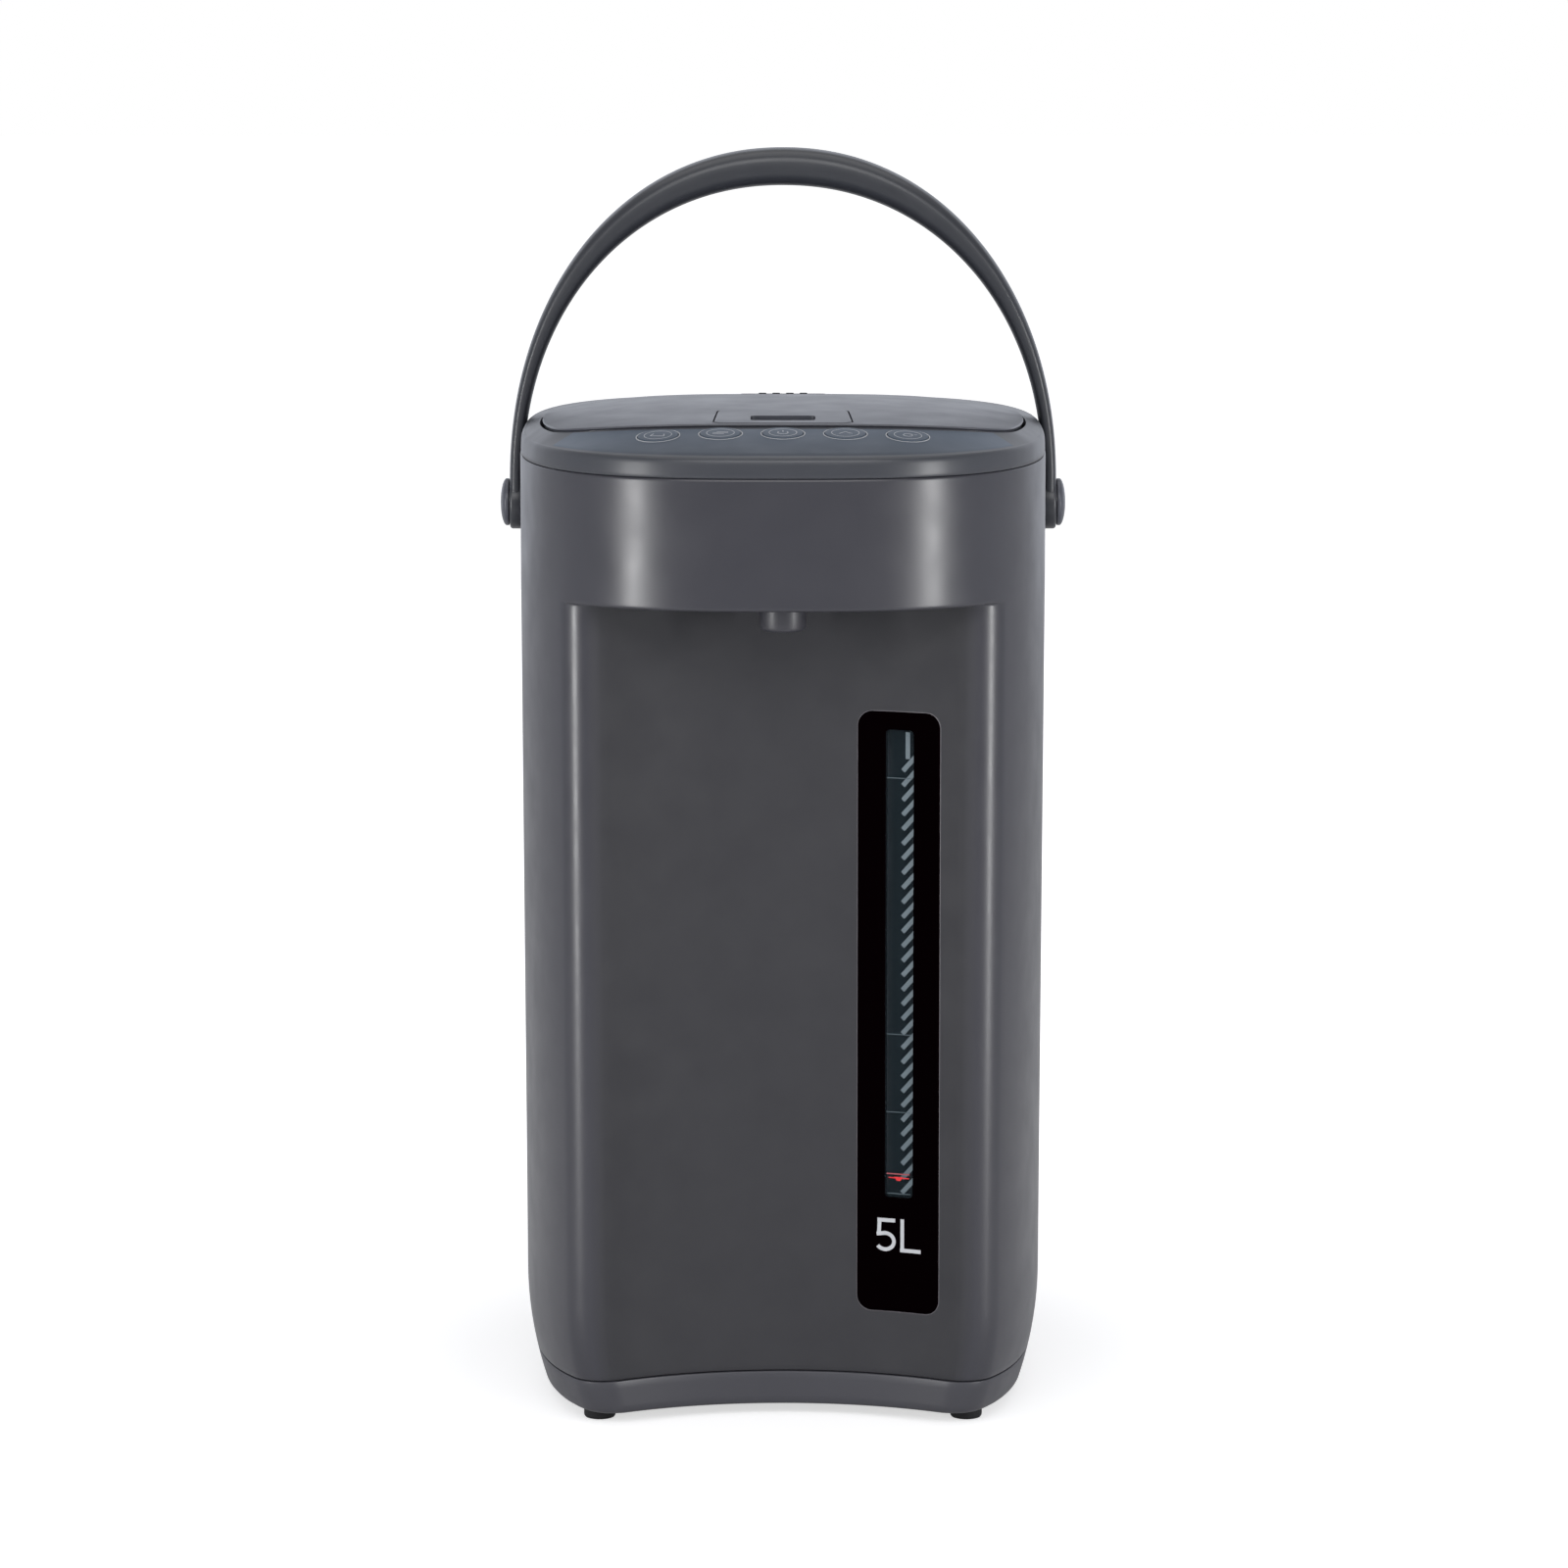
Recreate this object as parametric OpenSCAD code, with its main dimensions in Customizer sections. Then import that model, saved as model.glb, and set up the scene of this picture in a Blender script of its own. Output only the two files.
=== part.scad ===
// Electric thermo pot: a pump-fed hot water dispenser with a hinged lid and a bail handle.
// Z is up, the spout faces -Y and the origin is on the ground below the middle of the body.

/* [Body] */
// Width of the body across the head
body_w = 200; // [196:1:206]
// Depth of the body from front to back
body_d = 290; // [286:1:296]
// Roundness of the plan: 2 is an ellipse, higher is squarer
plan_n = 2.9; // [2.7:0.1:3.1]
// Wall thickness of the plastic mouldings
wall = 2.8; // [2.4:0.1:3]
// Underside of the base tray above the ground
base_z = 4.4; // [4:0.2:5]
// Height of the seam between base tray and casing
seam_z = 17.2; // [16.6:0.2:18]
// Height of the seam between casing and collar
casing_z = 359; // [357:1:362]
// Height of the collar above that seam
collar_h = 7.8; // [7:0.1:9]
// Loss of half width from the head down to the start of the bottom curve
draft = 1.2; // [0.6:0.1:1.6]
// Height where the wall starts to curve in
curve_z = 45; // [40:1:50]
// Loss of half width over the bottom curve
curve_in = 6.6; // [5:0.2:7]

/* [Dispensing bay] */
// Height of the head's front, from the bay to the collar's seam
head_h = 48.4; // [45:0.2:52]
// Radius of the hollow front wall
bay_r = 119.5; // [116:0.5:124]
// Depth of the hollow behind the head's front
bay_depth = 51; // [49:0.5:53]
// Radius of the bay's two upright edges
edge_r = 12.5; // [11:0.5:14]

/* [Window] */
// Angle of the window round the bay, from the middle
window_a = 21.3; // [20:0.1:23]
// Width of the window plate
window_w = 32.2; // [30:0.2:34]
// Bottom of the window plate
window_z0 = 42; // [40:1:46]
// Distance from the head down to the window plate
window_drop = 42; // [40:0.5:48]
// Width of the clear slot in the plate
slot_w = 11; // [9:0.5:12]
// Height of the clear slot above the plate's bottom
slot_rise = 43.5; // [40:0.5:50]
// Distance from the plate's top down to the clear slot
slot_drop = 6.6; // [6:0.2:12]

/* [Lid] */
// Height of the lid's highest point above the collar's rim
lid_rise = 11.1; // [10.5:0.1:12]
// Distance from the body's side to the lid
lid_side = 8.5; // [8:0.1:10]
// Distance from the body's back to the lid
lid_rear = 26; // [25:0.5:28]
// Distance from the body's front to the lid, over the keys
deck_d = 45; // [44:0.5:46]
// Gap between lid and collar
lid_gap = 1; // [0.8:0.1:1.4]
// Thickness of the lid's shell
lid_t = 2.2; // [2:0.1:2.4]

/* [Keys] */
// Distance between neighbouring keys
key_pitch = 22.9; // [21:0.1:23]
// Diameter of a key
key_d = 15; // [14:0.5:16]
// Distance of the keys behind the body's front
key_set = 34.5; // [33.5:0.1:35.5]
// Clearance round a key
key_fit = 0.25; // [0.2:0.05:0.4]

/* [Handle] */
// Distance of the handle's pivots below the collar's seam
pivot_drop = 25.7; // [24:0.1:28]
// Distance of the pivots behind the vessel's axis
pivot_set = 10; // [8:0.5:12]
// Gap between the body's side and the legs
handle_gap = 1.3; // [1.2:0.1:2.5]
// Thickness of a leg
leg_t = 5.2; // [4.8:0.1:5.6]
// Inner height of the arch over the pivots
arch_h = 123.3; // [122:0.1:126]
// Thickness of the grip at the top of the arch
grip_t = 14.5; // [13:0.5:16]
// Width of the grip
grip_w = 26; // [23:0.5:28]
// Width of a leg
leg_w = 19; // [17:0.5:20]
// Diameter of the pivot pins
pivot_d = 8; // [7:0.5:9]

/* [Vessel] */
// Room between the body's side and the inside of the vessel
vessel_gap = 18; // [17:0.5:20]
// Distance from the body's back to the vessel's axis
vessel_set = 117; // [114:1:118]
// Height of the vessel's floor
vessel_z0 = 70; // [69:1:74]
// Height of the mouth between the vessel and the lid's well
mouth_h = 30; // [28:1:34]
// Wall thickness of the vessel
vessel_t = 1; // [0.8:0.1:1.2]

/* [Fits] */
// Radial clearance of a shaft that turns in a hole
run_fit = 0.05; // [0.03:0.01:0.08]
// Clearance between two mouldings that slide past each other
slide_fit = 0.3; // [0.25:0.05:0.4]

/* [Hidden] */
$fn = 48;

half_w = body_w / 2;
half_d = body_d / 2;
rim_z = casing_z + collar_h;
head_z = casing_z - head_h;
bay_c = [0, -half_d + bay_depth - bay_r];
window_z1 = head_z - window_drop;
slot_z0 = window_z0 + slot_rise;
slot_z1 = window_z1 - slot_drop;
vessel_d = body_w - 2 * vessel_gap;
vessel_y = half_d - vessel_set;
pivot_z = casing_z - pivot_drop;
pivot_y = vessel_y + pivot_set;
handle_in = half_w + handle_gap;
floor_t = 2.5;
floor_z = base_z + floor_t;
head_t = 3;

// Window plate: how far it stands out of the bay wall, how deep it is bedded, and its fit
window_proud = 0.4;
window_bed = 1.7;
window_fit = 0.15;
window_corner = 5.5;
slot_corner = 1.2;
slot_over = [1, 1.5];
lens_proud = 0.2;

// Points on a ring: the body's side and back, each rounded bay edge, and the bay wall
n_side = 56;
n_edge = 7;
n_bay = 18;
n_front = n_bay + 2 * n_edge;

// Collar and lid
n_lid = 96;
rim_in = 2;
tongue_z = casing_z - 5;
tongue_t = 1.3;
well_z = casing_z - 7;
well_t = 2.4;
deck_drop = 0.3;
lid_top = rim_z + lid_rise;
lid_y = -20;
lid_w = half_w - lid_side;
lid_back = half_d - lid_rear - lid_y;
lid_front = half_d - deck_d + lid_y;
lid_front_w = lid_w + 1.3;
lid_n = 2.2;
lid_corner = 1.2;
lid_skirt_z = well_z + 5;
crown_y = -30;
crown_r = 1900;
crown_w = lid_w - 8.5;
crown_h = 4.5;
crown_n = 3.5;
vessel_z1 = well_z - mouth_h;
mouth_r = vessel_d / 2 - 2;
hinge_y = lid_y + lid_back + 2;
hinge_z = rim_z - 1.8;
hinge_r = 3;
hinge_pin_r = 1.5;
knuckle_x = 14;
knuckle_end = 32;

// Latch
latch_y0 = lid_y - lid_front + 2;
latch_y1 = latch_y0 + 36;
latch_w0 = 51.4;
latch_w1 = 48;
latch_gap = 0.5;
latch_back_gap = 0.9;
latch_pin_y = latch_y1 - 2.5;
latch_pin_drop = 4.37;
latch_pin_z = dome(0, latch_pin_y) - latch_pin_drop;
latch_pin_r = 1.2;
latch_t = 2.6;
hook_t = 2.4;
hook_w = 16;
hook_y = latch_y0 + 4;
strike_y = hook_y + hook_t + 2.4;
strike_t = 3.2;
strike_h = 6;

// Panel and keys
key_count = 5;
panel_t = 1.2;
panel_a = 55;
panel_edge = [0.045, 0.955];
panel_step = 28;
key_y = -half_d + key_set;
key_depth = 7.2;
key_travel = 0.6;
flange_t = 1;
board_depth = 10.8;
board_t = 1.6;

// Level tube and water path
tube_a = 20;
tube_gap = 1.9;
tube_r = 4.5;
tube_bore = 3.25;
tube_out = bay_r + wall + tube_gap + tube_r;
tube_x = tube_out * sin(tube_a);
tube_y = bay_c.y + tube_out * cos(tube_a);
tube_below = 25.5;
tube_above = 22;
tube_z0 = slot_z0 - tube_below;
tube_z1 = slot_z1 + tube_above;
scale_w = 14;
scale_over = 4;
hose_r = 6;
valve_z = head_z + 5.4;
valve_h = 22;
valve_r = 10;
spout_y = -half_d + 27;
spout_z = valve_z + 14;

// Pump
pump_x = tube_x;
pump_y = tube_y + 30.6;
motor_z = 9;
motor_h = 19;
motor_r = 16;
chamber_z = motor_z + motor_h;
chamber_h = 18;
chamber_r = 19;
rotor_r = 13;
shaft_r = 1.2;
cup_h = 6;
web_t = 1.5;
impeller_z = chamber_z + cup_h + web_t;
port_z = impeller_z + 3.7;
nipple_r = 5;
nipple_h = 3.5;
bend_r = 9;

function spow(v, e) = sign(v) * pow(abs(v), e);
function dir(a) = [cos(a), sin(a)];
function lift(ring, z) = [for (p = ring) [p.x, p.y, z]];
function mix(a, b, f) = a + (b - a) * f;

// The plan outline and its outward direction at parameter angle t
function egg(a, b, t) = [a * spow(cos(t), 2 / plan_n), b * spow(sin(t), 2 / plan_n)];
function egg_dir(a, b, t) =
    let (v = [spow(cos(t), 2 - 2 / plan_n) / a, spow(sin(t), 2 - 2 / plan_n) / b]) v / norm(v);

// How far the outer skin at height z lies inside the head's outline
function inset(z) = draft * max(0, head_z - z) / (head_z - curve_z)
    + curve_in * pow(max(0, curve_z - z) / (curve_z - base_z), 2);

// Parameter angle where the bay's rounded edge meets the outline, found by halving
function edge_t(a, b, w, lo = -89, hi = -5, k = 24) = let (m = (lo + hi) / 2)
    k == 0 ? m
    : norm(egg(a, b, m) - (edge_r - w) * egg_dir(a, b, m) - bay_c) < bay_r + edge_r
        ? edge_t(a, b, w, m, hi, k - 1)
        : edge_t(a, b, w, lo, m, k - 1);

// Ring of the body below the head at height z, w inside the outer skin
function bay_ring(z, w) = let (
    a = half_w - inset(z) - w,
    b = half_d - inset(z) - w,
    r = edge_r - w,
    t = edge_t(a, b, w),
    d = egg_dir(a, b, t),
    f = egg(a, b, t) - r * d,
    out = atan2(d.y, d.x),
    hit = atan2(bay_c.y - f.y, bay_c.x - f.x),
    wall_a = 180 + hit
) lift(concat(
    [for (i = [0:n_side]) egg(a, b, t + (180 - 2 * t) * i / n_side)],
    [for (i = [1:n_edge]) [-f.x, f.y] + r * dir(180 - out + (out - hit) * i / n_edge)],
    [for (i = [1:n_bay]) bay_c + (bay_r + w) * dir(180 - wall_a - (180 - 2 * wall_a) * i / n_bay)],
    [for (i = [1:n_edge - 1]) f + r * dir(hit + (out - hit) * i / n_edge)]
), z);

// Ring of the head, which has no bay, with its points matching those of bay_ring()
function head_ring(z, w) = let (
    a = half_w - inset(z) - w,
    b = half_d - inset(z) - w,
    t = edge_t(a, b, w)
) lift(concat(
    [for (i = [0:n_side]) egg(a, b, t + (180 - 2 * t) * i / n_side)],
    [for (i = [1:n_front - 1]) egg(a, b, 180 - t + (180 + 2 * t) * i / n_front)]
), z);

// Height of the lid's domed surface
function dome(x, y) = lid_top - pow(y - crown_y, 2) / crown_r
    - crown_h * pow(abs(x) / crown_w, crown_n);

// Lid outline as a distance from its centre: an egg cut off by a flatter front, corner rounded
function lid_radius(t) = let (
    side = pow(pow(abs(cos(t)) / lid_w, lid_n) + pow(abs(sin(t)) / lid_back, lid_n), -1 / lid_n),
    front = pow(pow(abs(cos(t)) / lid_front_w, 4) + pow(max(0, -sin(t)) / lid_front, 4), -1 / 4)
) -lid_corner * ln(exp(-side / lid_corner) + exp(-front / lid_corner));

// Plan rings for collar and lid share their directions, so the gap between them is even
function rim_point(i, w) = egg(half_w - w, half_d - w, -90 + 360 * i / n_lid);
function lid_angle(i) = let (p = rim_point(i, 0)) atan2(p.y - lid_y, p.x);
function rim_ring(z, w) = [for (i = [0:n_lid - 1]) let (p = rim_point(i, w)) [p.x, p.y, z]];
function lid_point(i, g, f = 1) = [0, lid_y] + f * (lid_radius(lid_angle(i)) + g) * dir(lid_angle(i));
function lid_ring(z, g) = [for (i = [0:n_lid - 1]) let (p = lid_point(i, g)) [p.x, p.y, z]];
function dome_ring(g, f, drop) =
    [for (i = [0:n_lid - 1]) let (p = lid_point(i, g, f)) [p.x, p.y, dome(p.x, p.y) - drop]];
function mouth_point(i) = [0, vessel_y] + (mouth_r + 1) * dir(lid_angle(i));
function mouth_hole(z) = [for (i = [0:n_lid - 1]) let (p = mouth_point(i)) [p.x, p.y, z]];

// A point on the deck: f is 0 at the rim and 1 at the lid's opening
function deck_point(i, f) = let (
    r = rim_point(i, rim_in),
    o = lid_point(i, lid_gap)
) mix([r.x, r.y, rim_z], [o.x, o.y, dome(o.x, o.y) - deck_drop], f);

// Quads between two neighbouring rings of n points that start at a and b
function strip(a, b, n) = [for (i = [0:n - 1]) each let (j = (i + 1) % n)
    [[a + i, b + i, b + j], [a + i, b + j, a + j]]];

// A sleeve: each ring joins the next one, and the last joins the first
module sleeve(rings) {
    n = len(rings[0]);
    m = len(rings);
    polyhedron(
        points = [for (r = rings) each r],
        faces = [for (k = [0:m - 1]) each strip(k * n, ((k + 1) % m) * n, n)]
    );
}

// A stack of rings closed at both ends by fans to the points first and last
module stack(rings, first, last) {
    n = len(rings[0]);
    m = len(rings);
    polyhedron(
        points = concat([for (r = rings) each r], [first, last]),
        faces = concat(
            [for (k = [0:m - 2]) each strip(k * n, (k + 1) * n, n)],
            [for (i = [0:n - 1]) [i, (i + 1) % n, n * m]],
            [for (i = [0:n - 1]) [n * (m - 1) + (i + 1) % n, n * (m - 1) + i, n * m + 1]]
        )
    );
}

module rounded_rect(w, h, r) {
    square([w - 2 * r, h], center = true);
    square([w, h - 2 * r], center = true);
    for (x = [-1, 1], y = [-1, 1]) translate([x * (w / 2 - r), y * (h / 2 - r)]) circle(r);
}

module post(x, y, z0, z1, r) {
    translate([x, y, z0]) cylinder(h = z1 - z0, r = r);
}

module tube(x, y, z0, z1, r, bore) {
    difference() {
        post(x, y, z0, z1, r);
        post(x, y, z0 - 1, z1 + 1, bore);
    }
}

// A round bar from point p to point q
module bar(p, q, r) {
    d = q - p;
    translate(p)
        rotate([0, acos(d.z / norm(d)), atan2(d.y, d.x)])
            cylinder(h = norm(d), r = r);
}

// A quarter bend from a level bar that leaves corner p at angle a to an upright one, up or down
module elbow(p, a, up, bend, r) {
    translate(p + [bend * cos(a), bend * sin(a), up * bend]) rotate([0, 0, a]) rotate([90, 0, 0])
        rotate([0, 0, up > 0 ? 180 : 90]) rotate_extrude(angle = 90) translate([bend, 0]) circle(r);
}

// A round bar along X
module x_bar(x0, x1, y, z, r) {
    translate([x0, y, z]) rotate([0, 90, 0]) cylinder(h = x1 - x0, r = r);
}

// A plate that follows the bay wall, between two distances from the bay's axis
module bay_plate(r0, r1, w, z0, z1, corner) {
    translate([bay_c.x, bay_c.y, 0]) rotate([0, 0, 90 - window_a]) intersection() {
        difference() {
            post(0, 0, z0 - 1, z1 + 1, r1);
            post(0, 0, z0 - 2, z1 + 2, r0);
        }
        translate([r0 - 5, 0, (z0 + z1) / 2]) rotate([90, 0, 90])
            linear_extrude(r1 - r0 + 10) rounded_rect(w, z1 - z0, corner);
    }
}

// ---- Base ----

front_foot_in = [31, 49.5];
back_foot_in = [38, 41];
foot_at = [for (s = [-1, 1]) each [
    [s * (half_w - front_foot_in.x), front_foot_in.y - half_d],
    [s * (half_w - back_foot_in.x), half_d - back_foot_in.y]
]];
post_in = 10;
post_at = [for (a = [-90, 30, 150]) [0, vessel_y] + (vessel_d / 2 - post_in) * dir(a)];
foot_r = 6;
foot_stem_r = 3;
foot_lip = 0.8;
post_r = 6;
screw_r = 1.8;
screw_head_r = 3.6;
screw_head_t = 1.3;
screw_deep = 0.2;
screw_top = 20;
tray_edge = 1;
tray_lip_h = 5;
tray_lip_t = 2;
vent_slot = [3, 36];
vent_pitch = 8;
power_board_w = 102;
power_board_d = 76;
power_board_set = 111;
power_board_y = half_d - power_board_set;
power_board_z = 14;
board_inset = 6;
board_post_r = 4;
board_hole_r = 1.6;
board_post_at = [for (s = [-1, 1], y = [board_inset, power_board_d - board_inset])
    [s * (power_board_w / 2 - board_inset), power_board_y + y]];

module base_tray() {
    lip = wall + slide_fit;
    color("#4f4e54") difference() {
        union() {
            stack(
                [
                    bay_ring(base_z, tray_edge), bay_ring(base_z + tray_edge, 0),
                    bay_ring(mix(base_z, seam_z, 0.5), 0), bay_ring(seam_z, 0), bay_ring(seam_z, lip),
                    bay_ring(seam_z + tray_lip_h, lip), bay_ring(seam_z + tray_lip_h, lip + tray_lip_t),
                    bay_ring(floor_z, lip + tray_lip_t)
                ],
                [0, 0, base_z], [0, 0, floor_z]
            );
            for (p = board_post_at) post(p.x, p.y, floor_z - 1, power_board_z, board_post_r);
            post(pump_x, pump_y, floor_z - 1, motor_z, motor_r);
        }
        for (p = foot_at) post(p.x, p.y, base_z - 1, floor_z + 1, foot_stem_r);
        for (p = post_at) {
            post(p.x, p.y, base_z - 1, floor_z + 1, screw_r);
            post(p.x, p.y, base_z - 1, base_z + screw_deep + screw_head_t, screw_head_r);
        }
        // Vent slots under the electronics
        for (k = [-3:3]) translate([k * vent_pitch, power_board_y + power_board_d / 2, base_z + floor_t / 2])
            cube([vent_slot.x, vent_slot.y, floor_t + 2], center = true);
    }
}

module rubber_feet() {
    color("#232326") for (p = foot_at) {
        post(p.x, p.y, 0, base_z, foot_r);
        post(p.x, p.y, base_z, floor_z, foot_stem_r);
        post(p.x, p.y, floor_z, floor_z + 1.5, foot_stem_r + foot_lip);
    }
}

module base_screws() {
    color("silver") for (p = post_at) {
        head = base_z + screw_deep;
        post(p.x, p.y, head, head + screw_head_t, screw_head_r);
        post(p.x, p.y, head + screw_head_t, screw_top, screw_r);
    }
}

module vessel_posts() {
    color("#2c2c30") for (p = post_at) tube(p.x, p.y, floor_z, vessel_z0 - vessel_t, post_r, screw_r);
}

// ---- Casing ----

pad_r = 13.3;
pad_x = handle_in - slide_fit;
inlet_z = 37;
inlet_w = 48;
inlet_h = 22;
nozzle_r = 8.65;
nozzle_drop = 9.6;
nozzle_flange_r = 12;
nozzle_flange_t = 2;

// Half width of the head's outline at depth y
function side_x(y) = half_w * pow(1 - pow(abs(y) / half_d, plan_n), 1 / plan_n);

module casing() {
    curve = [for (f = [0, 0.18, 0.38, 0.6, 0.8, 1]) mix(seam_z, curve_z, f)];
    pad_in = side_x(pivot_y) - wall - 4;
    color("#54565e") difference() {
        union() {
            sleeve(concat(
                [for (z = curve) bay_ring(z, 0)],
                [bay_ring(head_z, 0), head_ring(head_z, 0), head_ring(casing_z, 0)],
                [head_ring(casing_z, wall), head_ring(head_z + head_t, wall)],
                [bay_ring(head_z + head_t, wall)],
                [for (i = [len(curve) - 1:-1:0]) bay_ring(curve[i], wall)]
            ));
            for (m = [0, 1]) mirror([m, 0, 0]) x_bar(pad_in, pad_x, pivot_y, pivot_z, pad_r);
        }
        for (m = [0, 1]) mirror([m, 0, 0]) x_bar(pad_in - 1, pad_x + 1, pivot_y, pivot_z, pivot_d / 2);
        // Pocket for the window plate and the opening behind its slot
        bay_plate(bay_r - 4, bay_r + window_bed, window_w + 2 * window_fit,
            window_z0 - window_fit, window_z1 + window_fit, window_corner + window_fit);
        bay_plate(bay_r, bay_r + wall + 2, slot_w + 2 * slot_over.x,
            slot_z0 - slot_over.y, slot_z1 + slot_over.y, slot_corner + slot_over.x);
        post(0, spout_y, head_z - 1, head_z + head_t + 1, nozzle_r);
        translate([0, half_d, inlet_z]) cube([inlet_w, 30, inlet_h], center = true);
    }
}

module window_plate() {
    color("#08060a") difference() {
        bay_plate(bay_r - window_proud, bay_r + window_bed, window_w, window_z0, window_z1, window_corner);
        bay_plate(bay_r - 2, bay_r + 3, slot_w, slot_z0, slot_z1, slot_corner);
    }
}

module window_lens() {
    color("#9fc0d0", 0.4)
        bay_plate(bay_r - lens_proud, bay_r + window_bed, slot_w, slot_z0, slot_z1, slot_corner);
}

module level_tube() {
    color("#cfe4ee", 0.5) tube(tube_x, tube_y, tube_z0, tube_z1, tube_r, tube_bore);
}

module level_scale() {
    color("#3c6478") translate([tube_x - scale_w / 2, tube_y + tube_r, slot_z0 - scale_over])
        cube([scale_w, 1, slot_z1 - slot_z0 + 2 * scale_over]);
}

// ---- Water path ----

module pump_elbow() {
    corner = [tube_x, tube_y, port_z];
    start = [pump_x, pump_y - chamber_r, port_z];
    color("#d8d8d4") difference() {
        union() {
            bar(start, corner + [0, bend_r, 0], hose_r);
            elbow(corner, 90, 1, bend_r, hose_r);
            post(tube_x, tube_y, port_z + bend_r, tube_z0 + 8, hose_r);
        }
        bar(start + [0, 1, 0], corner + [0, bend_r, 0], tube_bore);
        bar(start + [0, 1, 0], start - [0, nipple_h, 0], nipple_r);
        elbow(corner, 90, 1, bend_r, tube_bore);
        post(tube_x, tube_y, port_z + bend_r, tube_z0, tube_bore);
        post(tube_x, tube_y, tube_z0, tube_z0 + 9, tube_r);
    }
}

module riser_sleeve() {
    color("#d8d8d4") difference() {
        post(tube_x, tube_y, tube_z1 - 8, valve_z, hose_r);
        post(tube_x, tube_y, tube_z1 - 9, tube_z1, tube_r);
        post(tube_x, tube_y, tube_z1 - 1, valve_z + 1, tube_bore);
    }
}

ball_r = 5.5;
cage_r = 7;
cage_z = valve_z + 3;
ball_z = cage_z + sqrt(ball_r * ball_r - tube_bore * tube_bore) + 0.05;
spout_from = [tube_x, tube_y, spout_z];
spout_bend = [0, spout_y, spout_z];

module tip_valve() {
    side = (spout_bend - spout_from) / norm(spout_bend - spout_from);
    color("#e4e4e0") difference() {
        union() {
            post(tube_x, tube_y, valve_z, valve_z + valve_h, valve_r);
            bar(spout_from, spout_from + (valve_r + nipple_h) * side, nipple_r);
        }
        post(tube_x, tube_y, valve_z - 1, valve_z + valve_h, tube_bore);
        post(tube_x, tube_y, cage_z, valve_z + valve_h - 2, cage_r);
        bar(spout_from, spout_bend, tube_bore);
    }
}

module tip_valve_ball() {
    color("#b8bcc0") translate([tube_x, tube_y, ball_z]) sphere(ball_r);
}

module spout_pipe() {
    leg = spout_from - spout_bend;
    reach = norm(leg) - valve_r;
    drop = spout_z - head_z - head_t - 2;
    color("#d8d8d4") translate(spout_bend) rotate([0, 0, atan2(leg.y, leg.x)]) difference() {
        union() {
            x_bar(bend_r, reach, 0, 0, hose_r);
            elbow([0, 0, 0], 0, -1, bend_r, hose_r);
            post(0, 0, -drop, -bend_r, hose_r);
        }
        x_bar(bend_r, reach - nipple_h, 0, 0, tube_bore);
        x_bar(reach - nipple_h, reach + 1, 0, 0, nipple_r);
        elbow([0, 0, 0], 0, -1, bend_r, tube_bore);
        post(0, 0, -drop - 1, -bend_r, tube_bore);
    }
}

module nozzle() {
    seat = nozzle_drop + head_t;
    color("#5c5e66") translate([0, spout_y, head_z - nozzle_drop]) rotate_extrude() polygon([
        [tube_bore, 3], [5, 0], [7.4, 0], [8.2, 0.5], [nozzle_r, 1.6], [nozzle_r, 3.4], [8, 4.4],
        [8, 8], [nozzle_r, nozzle_drop], [nozzle_r, seat], [nozzle_flange_r, seat],
        [nozzle_flange_r, seat + nozzle_flange_t], [tube_bore, seat + nozzle_flange_t]
    ]);
}

// ---- Vessel and heating ----

vessel_r = vessel_d / 2;
flange_r = vessel_r + 8;
flange_h = 1.2;
seal_h = 1.5;
mouth_t = 4;
shoulder_h = 6;
outlet_in = 9.2;
outlet_at = [pump_x, vessel_y - sqrt(pow(vessel_r - outlet_in, 2) - pump_x * pump_x)];
outlet_z = vessel_z0 - vessel_t - 5;
outlet_bore = 3.5;
sleeve_t = 4;

module vessel() {
    r = vessel_r + vessel_t;
    color("#c4c6c8") difference() {
        union() {
            post(0, vessel_y, vessel_z0 - vessel_t, vessel_z1, r);
            post(0, vessel_y, vessel_z1 - flange_h, vessel_z1, flange_r);
            post(outlet_at.x, outlet_at.y, outlet_z, vessel_z0, nipple_r);
        }
        post(0, vessel_y, vessel_z0, vessel_z1 + 1, vessel_r);
        post(outlet_at.x, outlet_at.y, outlet_z - 1, vessel_z0 + 1, outlet_bore);
    }
}

module vessel_seal() {
    color("#e8e8e4") tube(0, vessel_y, vessel_z1, vessel_z1 + seal_h, flange_r, vessel_r);
}

module mouth_ring() {
    low = vessel_z1 + seal_h;
    shoulder = vessel_z1 + shoulder_h;
    color("#3a3a3e") translate([0, vessel_y, 0]) rotate_extrude() polygon([
        [vessel_r, low], [flange_r + 1, low], [flange_r + 1, shoulder], [mouth_r + mouth_t, shoulder + 2],
        [mouth_r + mouth_t, well_z - well_t], [mouth_r, well_z - well_t], [mouth_r, shoulder]
    ]);
}

module insulation_sleeve() {
    r = vessel_r + vessel_t;
    color("#b9b2a4") tube(0, vessel_y, vessel_z0 + 6, vessel_z1 - 10, r + sleeve_t, r);
}

heater_r = vessel_r - 24;
heater_t = 4;
heater_tube_r = 4;
heater_ring_r = heater_r - 14;
terminal_r = 3;
terminal_h = 10;
thermostat_r = 9;
thermostat_h = 8;

module heater_plate() {
    z = vessel_z0 - vessel_t;
    color("#9a9ca0") difference() {
        union() {
            post(0, vessel_y, z - heater_t, z, heater_r);
            translate([0, vessel_y, z - 1.5 * heater_t]) rotate_extrude()
                translate([heater_ring_r, 0]) circle(heater_tube_r);
            for (a = [80, 100]) translate([0, vessel_y, z - 1.5 * heater_t - terminal_h])
                post(heater_ring_r * cos(a), heater_ring_r * sin(a), 0, terminal_h, terminal_r);
        }
        post(0, vessel_y, z - thermostat_h - 2, z - heater_t / 2, thermostat_r);
    }
}

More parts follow.
